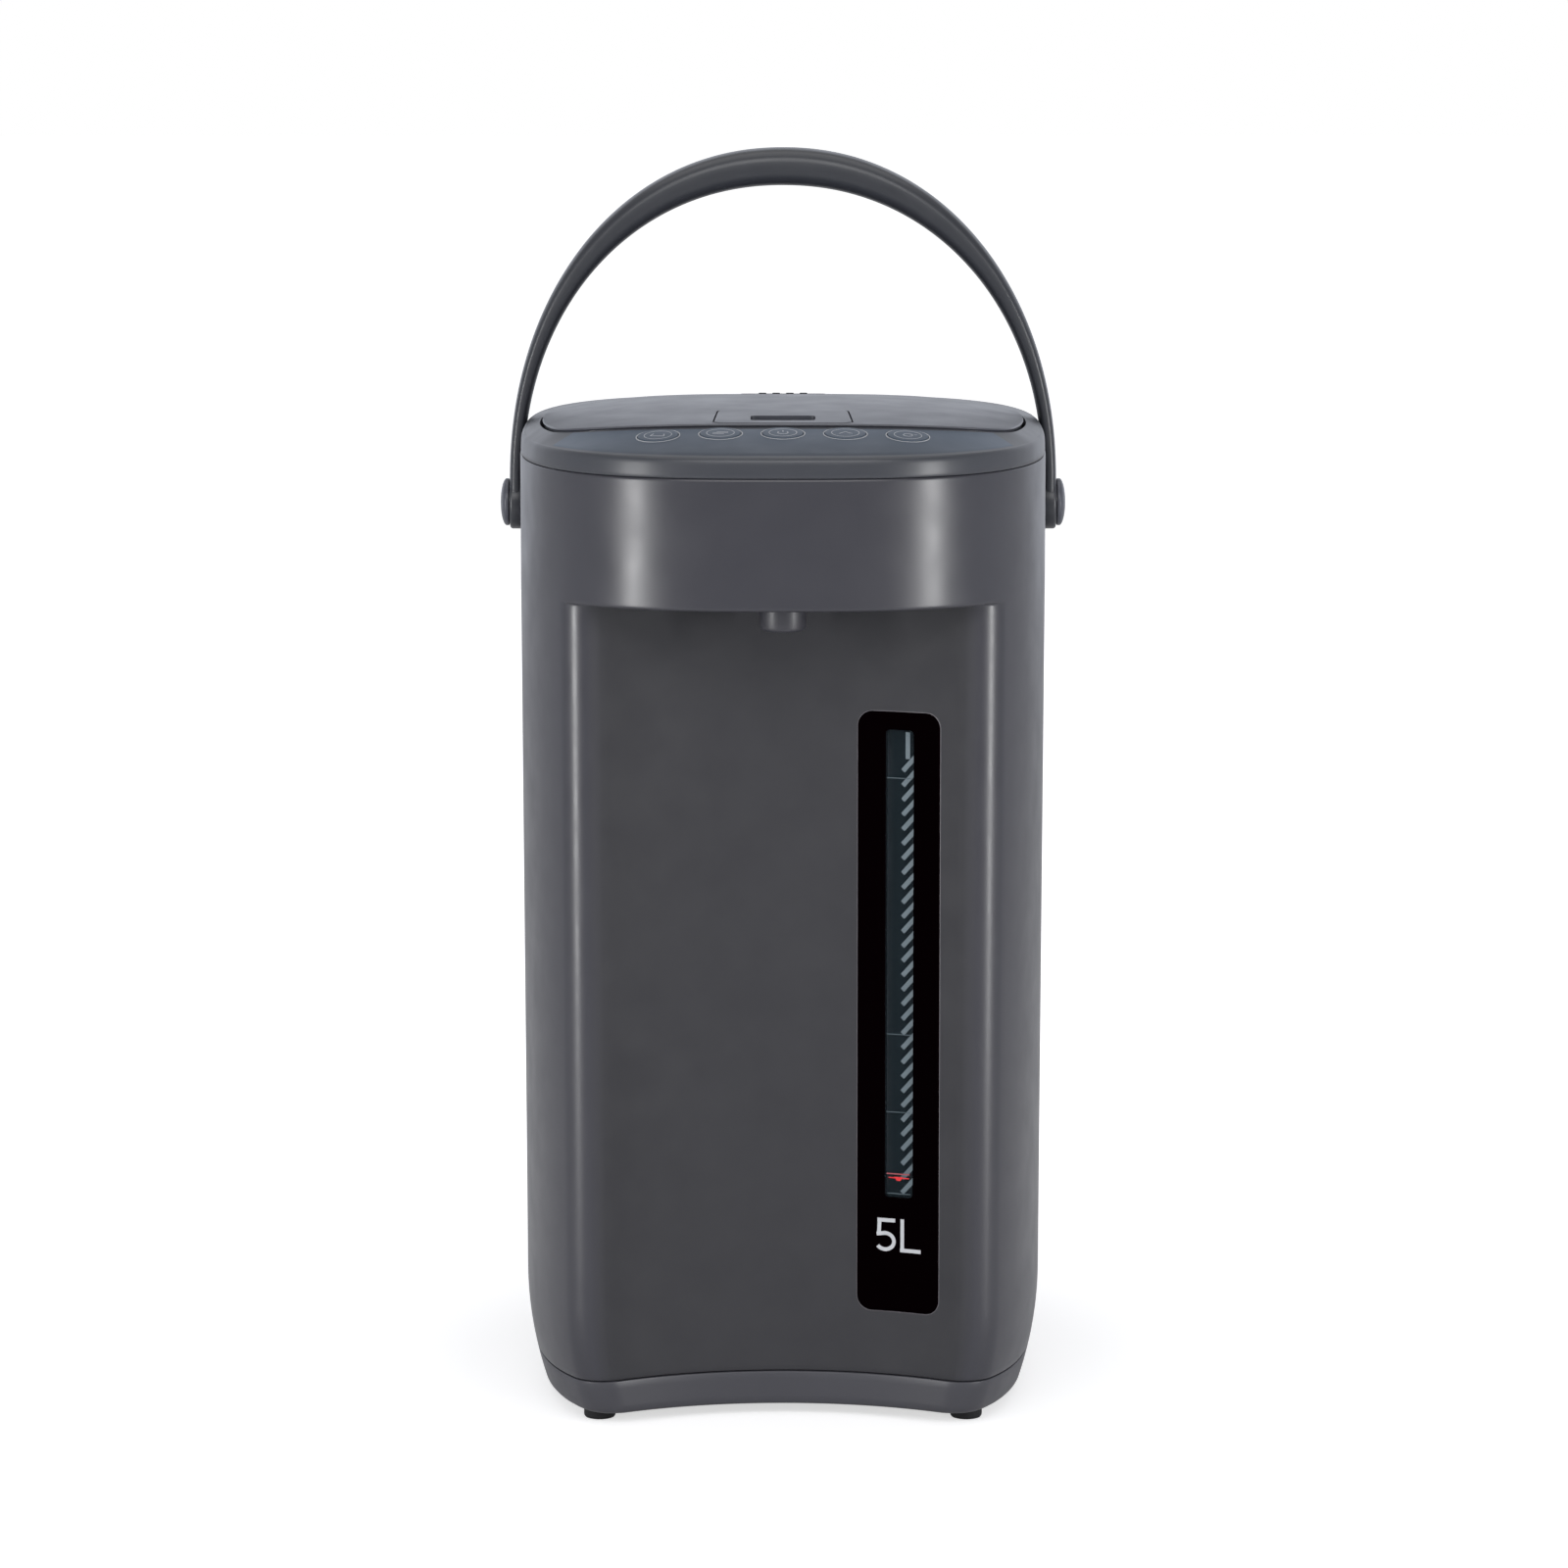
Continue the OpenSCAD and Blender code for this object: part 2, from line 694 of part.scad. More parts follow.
module thermostat() {
    z = vessel_z0 - vessel_t - heater_t / 2;
    color("#d0cfc8") {
        post(0, vessel_y, z - thermostat_h, z, thermostat_r);
        for (x = [-4, 4]) translate([x, vessel_y, z - thermostat_h - 3]) cube([1, 5, 8], center = true);
    }
}

module outlet_hose() {
    r = hose_r + 0.5;
    bend = r + 0.5;
    pump_top = chamber_z + chamber_h;
    level = pump_top + nipple_h + bend;
    a = [outlet_at.x, outlet_at.y, level];
    b = [pump_x, pump_y, level];
    turn = atan2(b.y - a.y, b.x - a.x);
    side = bend * [cos(turn), sin(turn), 0];
    color("#d8d8d4") difference() {
        union() {
            post(a.x, a.y, level + bend, outlet_z + nipple_h, r);
            elbow(a, turn, 1, bend, r);
            bar(a + side, b - side, r);
            elbow(b, turn + 180, -1, bend, r);
            post(b.x, b.y, pump_top, level - bend, r);
        }
        post(a.x, a.y, outlet_z, outlet_z + nipple_h + 1, nipple_r);
        post(a.x, a.y, level + bend, outlet_z, outlet_bore);
        elbow(a, turn, 1, bend, outlet_bore);
        bar(a + side, b - side, outlet_bore);
        elbow(b, turn + 180, -1, bend, outlet_bore);
        post(b.x, b.y, pump_top - 1, level - bend, nipple_r);
    }
}

// ---- Pump ----

module pump_housing() {
    top = chamber_z + chamber_h;
    roof = top - 3;
    color("#e0ded6") difference() {
        union() {
            post(pump_x, pump_y, chamber_z, top, chamber_r);
            post(pump_x, pump_y, top, top + nipple_h, nipple_r);
            bar([pump_x, pump_y, port_z], [pump_x, pump_y - chamber_r - nipple_h, port_z], nipple_r);
        }
        post(pump_x, pump_y, chamber_z - 1, chamber_z + cup_h, rotor_r + 2);
        difference() {
            post(pump_x, pump_y, impeller_z, roof, rotor_r + 2);
            post(pump_x, pump_y, impeller_z - 1, roof - 1, shaft_r);
        }
        post(pump_x, pump_y, roof - 0.5, top + nipple_h + 1, outlet_bore);
        bar([pump_x, pump_y - rotor_r, port_z], [pump_x, pump_y - chamber_r - 5, port_z], tube_bore);
    }
}

module pump_impeller() {
    blade = [rotor_r - 3.5, 1.2, 4.5];
    color("#f0efe8") difference() {
        union() {
            post(pump_x, pump_y, impeller_z + 0.5, impeller_z + 2.5, rotor_r);
            post(pump_x, pump_y, impeller_z + 2, impeller_z + 6, 3.5);
            for (a = [0:60:300]) translate([pump_x, pump_y, impeller_z + 2]) rotate([0, 0, a])
                translate([2.5, -blade.y / 2, 0]) cube(blade);
        }
        post(pump_x, pump_y, impeller_z, impeller_z + 7, shaft_r + run_fit);
    }
}

module motor_can() {
    top = motor_z + motor_h;
    color("#a8abb0") difference() {
        post(pump_x, pump_y, motor_z, top, motor_r);
        post(pump_x, pump_y, motor_z + 1.5, top - 1.5, motor_r - 1.5);
        post(pump_x, pump_y, top - 2, top + 1, shaft_r + run_fit);
    }
}

module motor_rotor() {
    top = motor_z + motor_h;
    color("#6a5040") {
        post(pump_x, pump_y, motor_z + 3, top - 3, motor_r - 4);
        post(pump_x, pump_y, top - 3, chamber_z + 2, shaft_r);
        post(pump_x, pump_y, chamber_z + 1.2, chamber_z + cup_h - 0.8, rotor_r);
    }
}

// ---- Electronics ----

relay = [12, 16, 15];
relay_at = [[13, 10], [29, 10]];
capacitor_at = [[15, 48], [27, 48], [39, 48]];
transformer_at = [63, 18];
core = [30, 26, 24];
winding = [34, 14, 12];

// Puts its children on the power board, at a place counted from the board's corner
module on_board(at) {
    translate([at.x - power_board_w / 2, at.y + power_board_y, power_board_z + board_t]) children();
}

module power_board() {
    color("#2e6b45") difference() {
        on_board([0, 0]) translate([0, 0, -board_t]) cube([power_board_w, power_board_d, board_t]);
        for (p = board_post_at) post(p.x, p.y, power_board_z - 1, power_board_z + 3, board_hole_r);
    }
    color("#30343a") {
        for (at = relay_at) on_board(at) cube(relay);
        for (at = capacitor_at) on_board(at) cylinder(h = 12.4, r = 5);
    }
}

module transformer() {
    color("#c8a24a") on_board(transformer_at) {
        cube(core);
        translate((core - winding) / 2) cube(winding);
    }
}

inlet_front = half_d - 2.4;
inlet_depth = 16;
socket = [34, 7, 14];
inlet_pin_x = [-8, 8];
inlet_pin_r = 1.5;
inlet_pin_l = 17;

module power_inlet() {
    color("#1d1d20") difference() {
        translate([-inlet_w / 2, inlet_front - inlet_depth, inlet_z - inlet_h / 2])
            cube([inlet_w, inlet_depth, inlet_h]);
        translate([-socket.x / 2, inlet_front - socket.y, inlet_z - socket.z / 2])
            cube(socket + [0, 1, 0]);
        for (x = inlet_pin_x) translate([x, inlet_front - inlet_depth - 1, inlet_z]) rotate([-90, 0, 0])
            cylinder(h = inlet_depth, r = inlet_pin_r);
    }
}

module inlet_pins() {
    color("#c8a24a") for (x = inlet_pin_x) translate([x, inlet_front - inlet_depth - 4, inlet_z])
        rotate([-90, 0, 0]) cylinder(h = inlet_pin_l, r = inlet_pin_r);
}

// ---- Collar ----

panel_i = n_lid * panel_a / 360;

// The control panel's sweep: f0 and f1 are its edges, with its top and bottom offsets
module panel_sweep(f0, f1, top, bottom, half_i) {
    m = panel_step;
    rings = [for (k = [0:m]) let (
        i = half_i * (2 * k / m - 1),
        a = deck_point(i, f0),
        b = deck_point(i, f1)
    ) [b + [0, 0, top], a + [0, 0, top], a + [0, 0, bottom], b + [0, 0, bottom]]];
    stack(rings, mean(rings[0]), mean(rings[m]));
}

function mean(ring) = let (s = [for (p = ring) 1] * ring) s / len(ring);

// Key centres: the share of the deck at depth key_y, and the sweep's parameter at x by halving
function key_x(k) = (k - (key_count - 1) / 2) * key_pitch;
function key_f(i) = (key_y - deck_point(i, 0).y) / (deck_point(i, 1).y - deck_point(i, 0).y);
function key_i(x, lo = -panel_i, hi = panel_i, n = 24) = let (m = (lo + hi) / 2)
    n == 0 ? m
    : deck_point(m, key_f(m)).x < x ? key_i(x, m, hi, n - 1) : key_i(x, lo, m, n - 1);

// Puts its children on the panel at a key's place, with Z along the key's travel
module at_key(x) {
    i = key_i(x);
    f = key_f(i);
    along = deck_point(i + 0.5, f) - deck_point(i - 0.5, f);
    across = deck_point(i, f + 0.05) - deck_point(i, f - 0.05);
    up = cross(along, across) / norm(cross(along, across));
    translate(deck_point(i, f)) rotate([-asin(up.y), atan2(up.x, up.z), 0]) children();
}

module collar() {
    open = lid_gap;
    tongue_in = wall + slide_fit + tongue_t;
    color("#4f5158") difference() {
        union() {
            difference() {
                sleeve([
                    rim_ring(casing_z, 0.2), rim_ring(rim_z - 2.2, 0.4), rim_ring(rim_z - 0.7, 0.8),
                    rim_ring(rim_z, rim_in), dome_ring(open, 1, deck_drop), lid_ring(well_z, open),
                    mouth_hole(well_z), mouth_hole(well_z - well_t), lid_ring(well_z - well_t, open + 2),
                    dome_ring(open + 2, 1, deck_drop + 2.6), rim_ring(rim_z - 2.6, tongue_in),
                    rim_ring(tongue_z, tongue_in), rim_ring(tongue_z, wall + slide_fit),
                    rim_ring(casing_z, wall + slide_fit)
                ]);
                // Seat for the lid's hinge
                translate([-knuckle_end - 1, hinge_y - 9, lid_skirt_z]) cube([2 * knuckle_end + 2, 13, 14]);
            }
            for (m = [0, 1]) mirror([m, 0, 0]) {
                x_bar(knuckle_x + slide_fit, knuckle_end, hinge_y, hinge_z, hinge_r);
                translate([knuckle_x + slide_fit, hinge_y, lid_skirt_z])
                    cube([knuckle_end - knuckle_x - slide_fit, 6, hinge_z - lid_skirt_z]);
            }
            // Strike that holds the latch
            translate([-hook_w / 2 - 1, strike_y, well_z - 1]) cube([hook_w + 2, strike_t, strike_h + 1]);
            // Bosses that carry the control board
            for (x = [-40, 40]) at_key(0) translate([x, -4, -board_depth])
                cylinder(h = board_depth - 2.2, r = 3);
        }
        panel_sweep(panel_edge[0] - 0.007, panel_edge[1] + 0.007, 3, -panel_t - 0.05, panel_i + 0.1);
        for (k = [0:key_count - 1]) at_key(key_x(k))
            translate([0, 0, -key_depth - 5]) cylinder(h = key_depth + 9, r = key_d / 2 + 1.8);
        x_bar(-knuckle_end - 1, knuckle_end + 1, hinge_y, hinge_z, hinge_pin_r);
    }
}

module control_panel() {
    color("#5b6473") difference() {
        panel_sweep(panel_edge[0], panel_edge[1], 0.15, -panel_t, panel_i);
        for (k = [0:key_count - 1]) at_key(key_x(k))
            translate([0, 0, -3]) cylinder(h = 6, r = key_d / 2 + key_fit);
    }
}

module key_cap(x) {
    color("#6e7886") at_key(x) {
        under = -panel_t - slide_fit;
        translate([0, 0, under - 0.5]) cylinder(h = 0.9 - under, r = key_d / 2);
        translate([0, 0, under - flange_t]) cylinder(h = flange_t, r = key_d / 2 + 1.1);
        translate([0, 0, -key_depth]) cylinder(h = key_depth + under - 0.5, r = 2.5);
    }
}

module key_1() key_cap(key_x(0));
module key_2() key_cap(key_x(1));
module key_3() key_cap(key_x(2));
module key_4() key_cap(key_x(3));
module key_5() key_cap(key_x(4));

control_board_w = key_pitch * (key_count - 1) + 28.4;
switch_w = 6;
switch_h = 1;
switch_gap = 0.3;

module control_board() {
    color("#2e6b45") at_key(0) translate([-control_board_w / 2, -14, -board_depth - board_t])
        cube([control_board_w, 18, board_t]);
}

// How far a key lies below the middle one, across the board
function key_sag(k) = let (
    p = deck_point(key_i(key_x(k)), key_f(key_i(key_x(k)))) - deck_point(0, key_f(0)),
    across = deck_point(0, 1) - deck_point(0, 0)
) -(cross([1, 0, 0], across) * p) / norm(across);

// Each switch's plunger ends just past the travel of the key above it
module key_switches() {
    color("#202022") for (k = [0:key_count - 1]) at_key(0)
        translate([key_x(k), 0, -board_depth]) {
            translate([-switch_w / 2, -switch_w / 2, 0]) cube([switch_w, switch_w, switch_h]);
            cylinder(h = board_depth - key_depth - key_travel - switch_gap - key_sag(k), r = 1.6);
        }
}

// ---- Lid ----

vent_y = vessel_y + 16;
vent_w = 34;
vent_d = 20;
vent_tilt = -atan(2 * (vent_y - crown_y) / crown_r);
base_lid_z = [well_z + slide_fit, lid_skirt_z - 0.2];
plug_r = mouth_r - 7;
seal_r = mouth_r - 1;
plug_h = 14;
steam_hole_r = 2;
finger = [24, 12];
finger_y = latch_y0 + finger.y;
finger_z = dome(0, finger_y) - 8.2;
recess_t = 1.5;
recess_h = 8.4;
barb = [1.6, 2.4];
spring_turns = 6;
lug_x = [20.5, 23.5];
latch_corner = 4;

module latch_prism(w0, w1, y0, y1, z0, z1, r) {
    $fn = 32;
    translate([0, 0, z0]) linear_extrude(z1 - z0) hull() for (s = [-1, 1]) {
        translate([s * (w0 / 2 - r), y0 + r]) circle(r);
        translate([s * (w1 / 2 - r), y1 - r]) circle(r);
    }
}

// A slab under the dome, over the latch's area
module dome_slab(x_end, y0, y1, top, bottom) {
    nx = 10;
    rings = [for (i = [0:nx]) let (x = mix(-x_end, x_end, i / nx)) concat(
        [for (j = [6:-1:0]) let (y = mix(y0, y1, j / 6)) [x, y, dome(x, y) + top]],
        [for (j = [0:6]) let (y = mix(y0, y1, j / 6)) [x, y, dome(x, y) + bottom]]
    )];
    stack(rings, mean(rings[0]), mean(rings[nx]));
}

module lid_cover() {
    t = lid_t;
    apex = [0, lid_y];
    fs = [0.3, 0.6, 0.85, 0.97];
    color("#62656d") difference() {
        union() {
            stack(
                concat(
                    [for (f = fs) dome_ring(-t, f, t)],
                    [dome_ring(-t, 1, t), lid_ring(lid_skirt_z, -t), lid_ring(lid_skirt_z, 0)],
                    [dome_ring(0, 1, 0.8), dome_ring(-0.8, 1, 0)],
                    [for (i = [3:-1:0]) dome_ring(-0.8, fs[i], 0)]
                ),
                [apex.x, apex.y, dome(apex.x, apex.y) - t], [apex.x, apex.y, dome(apex.x, apex.y)]
            );
            translate([-knuckle_x, hinge_y - 8, hinge_z - 3.5]) cube([2 * knuckle_x, 8, 5]);
            x_bar(-knuckle_x, knuckle_x, hinge_y, hinge_z, hinge_r);
            // Lugs for the latch's pin, carried behind the latch
            for (m = [0, 1]) mirror([m, 0, 0]) translate([lug_x[0], latch_pin_y - 3, latch_pin_z - 3]) {
                cube([lug_x[1] - lug_x[0], 12, 4.4]);
                translate([0, latch_y1 + latch_back_gap + 3.2 - latch_pin_y, 0])
                    cube([lug_x[1] - lug_x[0], 5, 6]);
            }
        }
        latch_prism(latch_w0 + 2 * latch_gap, latch_w1 + 2 * latch_gap, latch_y0 - latch_gap,
            latch_y1 + latch_back_gap, latch_pin_z + 1.4, lid_top + 7, latch_corner + latch_gap);
        latch_prism(latch_w0 + 2 * latch_gap, latch_w1 + 2 * latch_gap, latch_y0 - latch_gap,
            latch_pin_y - 3.5, latch_pin_z - 4.9, latch_pin_z + 2, latch_corner + latch_gap);
        translate([0, vent_y, dome(0, vent_y)]) rotate([vent_tilt, 0, 0])
            cube([vent_w, vent_d, 9], center = true);
        x_bar(-knuckle_x - 1, knuckle_x + 1, hinge_y, hinge_z, hinge_pin_r + run_fit);
        x_bar(-lug_x[1] - 1, lug_x[1] + 1, latch_pin_y, latch_pin_z, latch_pin_r);
    }
}

module lid_base() {
    z = base_lid_z;
    rim = -lid_t - slide_fit;
    rim_t = 2;
    color("#3a3a3e") difference() {
        stack(
            [
                lid_ring(z[0], -0.4), lid_ring(z[1], -0.4), lid_ring(z[1], rim), lid_ring(z[1] + 4, rim),
                lid_ring(z[1] + 4, rim - rim_t), lid_ring(z[1], rim - rim_t)
            ],
            [0, lid_y, z[0]], [0, lid_y, z[1]]
        );
        // Slot for the latch's hook and the strike
        translate([-hook_w / 2 - 4, hook_y - 4, z[0] - 1]) cube([hook_w + 8, 15, 12]);
        // Steam holes to the vent
        for (x = [-8:8:8]) post(x, vent_y, z[0] - 1, z[1] + 1, steam_hole_r);
    }
}

module inner_lid() {
    z = base_lid_z[0];
    color("#c4c6c8") difference() {
        post(0, vessel_y, z - plug_h, z, plug_r);
        post(0, vessel_y, z - plug_h + vessel_t, z + 1, plug_r - vessel_t);
        for (x = [-8:8:8]) post(x, vent_y, z - plug_h - 1, z, steam_hole_r);
    }
}

module lid_gasket() {
    z = base_lid_z[0] - 8;
    color("#e8e8e4") translate([0, vessel_y, 0]) rotate_extrude() polygon([
        [plug_r, z - 2], [plug_r + 3, z - 2], [seal_r, z + 1], [seal_r, z + 2], [plug_r + 2, z + 3],
        [plug_r, z + 3]
    ]);
}

module steam_vent() {
    pitch = 5.3;
    color("#34363c") translate([0, vent_y, dome(0, vent_y)]) rotate([vent_tilt, 0, 0]) difference() {
        translate([0, 0, -2.8]) linear_extrude(3.3) rounded_rect(vent_w - 0.4, vent_d - 0.4, 3);
        for (k = [-1.5:1:1.5]) translate([k * pitch, 0, 0]) cube([3.4, 14, 9], center = true);
    }
}

module lid_latch() {
    hook_z = well_z + 2;
    color("#6a6d75") difference() {
        union() {
            intersection() {
                dome_slab(latch_w0 / 2 + 1, latch_y0 - 1, latch_y1 + 1, 0.2, -latch_t);
                latch_prism(latch_w0, latch_w1, latch_y0, latch_y1, lid_top - 10, lid_top + 6, latch_corner);
            }
            // Walls of the finger recess
            translate([-finger.x / 2 - recess_t, finger_y - finger.y / 2 - recess_t, finger_z - 1.4])
                cube([finger.x + 2 * recess_t, finger.y + 2 * recess_t, recess_h]);
            // Hook
            translate([-hook_w / 2, hook_y, hook_z]) cube([hook_w, hook_t, finger_z - hook_z]);
            translate([-hook_w / 2, hook_y, hook_z]) cube([hook_w, hook_t + barb.x, barb.y]);
            // Knuckle on the pin
            x_bar(-lug_x[0] + 0.5, lug_x[0] - 0.5, latch_pin_y, latch_pin_z, 2.4);
        }
        translate([-finger.x / 2, finger_y - finger.y / 2, finger_z])
            cube([finger.x, finger.y, 12]);
        x_bar(-lug_x[0], lug_x[0], latch_pin_y, latch_pin_z, latch_pin_r + run_fit);
        // Pocket for the spring and its front leg
        translate([-5, latch_pin_y - 9, latch_pin_z - 4]) cube([10, 12, 6.5]);
    }
}

module latch_pin() {
    color("silver") x_bar(-lug_x[1], lug_x[1], latch_pin_y, latch_pin_z, latch_pin_r);
}

// A torsion spring: a helix round the pin, with one leg under the latch and one under the lid
module latch_spring() {
    wire = 0.4;
    sides = 6;
    steps = 12;
    coil = latch_pin_r + 0.1 + wire;
    pitch = 1;
    leg = 8;
    path = [for (i = [0:steps * spring_turns]) [pitch * (i / steps - spring_turns / 2), 360 * i / steps]];
    turns = [for (p = path) [for (k = [0:sides - 1]) let (b = 360 * k / sides, r = coil + wire * cos(b))
        [p[0] + wire * sin(b), latch_pin_y + r * sin(p[1]), latch_pin_z + r * cos(p[1])]]];
    front = [for (p = turns[0]) p - [0, leg, 0]];
    back = [for (p = turns[len(turns) - 1]) p + [0, leg, 0]];
    color("silver") stack(concat([front], turns, [back]), mean(front), mean(back));
}

module hinge_pin() {
    color("silver") x_bar(-knuckle_end, knuckle_end, hinge_y, hinge_z, hinge_pin_r);
}

// ---- Handle ----

arch_n = 2.1;
arch_z = pivot_z + 8;
eye_r = 10.5;
n_arch = 44;
n_section = 12;

// Inner and outer curve of the arch at parameter angle a
function arch(w, h, a) = [w * spow(cos(a), 2 / arch_n), arch_z + h * spow(sin(a), 2 / arch_n)];

// A cross section between inner point p and outer point q, with rounded edges
function arch_section(p, q, w) = [for (k = [0:n_section - 1]) let (
    a = 360 * k / n_section,
    u = spow(cos(a), 0.62) / 2,
    v = spow(sin(a), 0.62) / 2,
    c = mix(p, q, 0.5 + u)
) [c.x, pivot_y + v * w, c.y]];

module handle() {
    low = pivot_z - arch_z;
    sections = concat(
        [arch_section([handle_in, pivot_z], [handle_in + leg_t, pivot_z], leg_w)],
        [for (k = [0:n_arch]) let (
            a = 180 * k / n_arch,
            h = arch_h + low
        ) arch_section(
            arch(handle_in, h, a), arch(handle_in + leg_t, h + grip_t, a),
            mix(leg_w, grip_w, pow(sin(a), 2))
        )],
        [arch_section([-handle_in, pivot_z], [-handle_in - leg_t, pivot_z], leg_w)]
    );
    color("#55585f") difference() {
        union() {
            stack(sections, [handle_in + leg_t / 2, pivot_y, pivot_z],
                [-handle_in - leg_t / 2, pivot_y, pivot_z]);
            for (m = [0, 1]) mirror([m, 0, 0])
                x_bar(handle_in, handle_in + leg_t, pivot_y, pivot_z, eye_r);
        }
        for (m = [0, 1]) mirror([m, 0, 0]) x_bar(handle_in - 1, handle_in + leg_t + 1,
            pivot_y, pivot_z, pivot_d / 2 + run_fit);
    }
}

cap_x = handle_in + leg_t + slide_fit;
cap_t = 3.4;

module pivot_pins() {
    inner = side_x(pivot_y) - wall - 4;
    color("silver") for (m = [0, 1]) mirror([m, 0, 0]) {
        x_bar(inner - 2, inner, pivot_y, pivot_z, pivot_d / 2 + 2);
        x_bar(inner, cap_x + 1, pivot_y, pivot_z, pivot_d / 2);
    }
}

module pivot_caps() {
    cap_r = 9.2;
    color("#45474d") for (m = [0, 1]) mirror([m, 0, 0]) translate([cap_x, pivot_y, pivot_z])
        rotate([0, 90, 0]) rotate_extrude() polygon([
            [0, 1], [pivot_d / 2, 1], [pivot_d / 2, 0], [cap_r, 0], [cap_r, 1.2], [cap_r - 1, 2.2],
            [cap_r - 3.5, cap_t - 0.4], [cap_r - 6, cap_t - 0.1], [0, cap_t]
        ]);
}

base_tray();
rubber_feet();
base_screws();
vessel_posts();
casing();
collar();
control_panel();
control_board();
key_switches();
key_1();
key_2();
key_3();
key_4();
key_5();
window_plate();
window_lens();
level_tube();
level_scale();
pump_elbow();
riser_sleeve();
tip_valve();
tip_valve_ball();
spout_pipe();
nozzle();
vessel();
vessel_seal();
mouth_ring();
insulation_sleeve();
heater_plate();
thermostat();
outlet_hose();
pump_housing();
pump_impeller();
motor_can();
motor_rotor();
power_board();
transformer();
power_inlet();
inlet_pins();
lid_cover();
lid_base();
inner_lid();
lid_gasket();
steam_vent();
lid_latch();
latch_pin();
latch_spring();
hinge_pin();
handle();
pivot_pins();
pivot_caps();
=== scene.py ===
import math

import bmesh
import bpy
import numpy as np
from mathutils import Matrix, Vector


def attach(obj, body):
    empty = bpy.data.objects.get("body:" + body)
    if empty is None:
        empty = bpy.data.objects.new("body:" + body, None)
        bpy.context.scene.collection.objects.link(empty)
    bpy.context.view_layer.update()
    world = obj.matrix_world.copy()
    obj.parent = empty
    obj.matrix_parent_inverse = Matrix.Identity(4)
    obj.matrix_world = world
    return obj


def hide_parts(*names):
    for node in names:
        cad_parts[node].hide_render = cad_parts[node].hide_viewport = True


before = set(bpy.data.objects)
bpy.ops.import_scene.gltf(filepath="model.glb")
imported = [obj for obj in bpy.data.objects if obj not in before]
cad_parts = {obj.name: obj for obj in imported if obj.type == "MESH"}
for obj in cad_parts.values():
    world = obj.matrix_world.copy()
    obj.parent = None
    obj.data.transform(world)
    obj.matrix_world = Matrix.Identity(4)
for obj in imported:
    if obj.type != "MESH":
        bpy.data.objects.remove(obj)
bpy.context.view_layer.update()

MM = 0.001

# ---- Sizes in millimetres, as the CAD model has them ----

HALF_W = 100.0
HALF_D = 145.0
PLAN_N = 2.9
WALL = 2.8
BASE_Z = 4.4
SEAM_Z = 17.2
CASING_Z = 359.0
RIM_Z = 366.8
DRAFT = 1.2
CURVE_Z = 45.0
CURVE_IN = 6.6
HEAD_Z = 310.6
HEAD_T = 3.0
BAY_R = 119.5
BAY_DEPTH = 51.0
BAY_C = np.array([0.0, -HALF_D + BAY_DEPTH - BAY_R])
EDGE_R = 12.5
SEAM_GAP = 0.35
LIP_IN = 3.1

WINDOW_A = 21.3
WINDOW_W = 32.2
WINDOW_Z = (42.0, 268.6)
WINDOW_CORNER = 5.5
SLOT_W = 11.0
SLOT_Z = (85.5, 262.0)
SLOT_CORNER = 1.6
PLATE_FRONT = BAY_R - 0.4
LENS_FRONT = BAY_R - 0.2
POCKET_BACK = BAY_R + 1.7
BARS_AT = BAY_R + 1.9
TUBE_AT = (44.02, -92.56)
TUBE_R = 4.5

LID_TOP = 377.9
LID_W = 91.5
LID_BACK = 139.0
LID_FRONT = 80.0
LID_FRONT_W = 92.8
LID_N = 2.2
LID_CORNER = 1.2
LID_Y = -20.0
LID_GAP = 1.0
LID_T = 2.2
LID_SKIRT_Z = 357.0
LINING_TOP = 356.8
CROWN_Y = -30.0
CROWN_R = 1900.0
CROWN_X = (83.0, 4.5, 3.5)
RIM_IN = 2.0
DECK_DROP = 1.0
WELL_Z = 352.0
WELL_T = 2.4
TONGUE_Z = 354.0
MOUTH_R = 80.0
VESSEL_Y = 28.0

PANEL_A = 55.0
PANEL_EDGE = (0.045, 0.955)
KEY_Y = -110.5
KEY_PITCH = 22.9
KEY_R = 7.5
KEY_FIT = 0.25
KEYS = 5
KEY_TOP = 0.6
KEY_STEM = 6.6

LATCH_Y = (-98.0, -62.0)
LATCH_W = (51.4, 48.0)
LATCH_GAP = (0.5, 0.9)
FINGER = (24.0, 12.0)
FINGER_Y = -86.0
LATCH_PIN = (-64.5, 372.9)
LATCH_PROUD = 0.2
HOOK_W = 16.0

HINGE_Y = LID_Y + LID_BACK + 2
HINGE_Z = 365.0
HINGE_R = 3.0
KNUCKLES = (14.0, 32.0)
VENT_Y = 44.0
VENT_PITCH = 5.3

PIVOT_Y = 38.0
PIVOT_Z = 333.3
PAD_R = 13.3
PAD_T = 8.7
HANDLE_IN = 101.3
LEG_T = 5.2
PIVOT_GAP = 0.3
ARCH_H = 123.3
ARCH_RISE = 8.0
ARCH_N = 2.1
GRIP_T = 14.5
LEG_W = 19.0
GRIP_W = 26.0
EYE_R = 10.5
CAP_R = 9.2

SPOUT_Y = -118.0
NOZZLE_R = 8.65
NOZZLE_DROP = 9.6
TUBE_BORE = 3.25
INLET_Z = 37.0
INLET_W = 48.0
INLET_H = 22.0
SCREW_CIRCLE = 72.0
SCREW_ANGLES = (-90, 30, 150)
SCREW_RECESS_R = 3.6
FEET = ((69, -95.5), (-69, -95.5), (62, 104), (-62, 104))

# How finely the smooth shells are drawn
N_SIDE = 240
N_EDGE = 20
N_BAY = 80
N_FRONT = N_BAY + 2 * N_EDGE
N_LID = 384


# ---- Shape functions ----

def spow(v, e):
    """v to the power e, with v's sign kept."""
    return np.sign(v) * np.abs(v) ** e


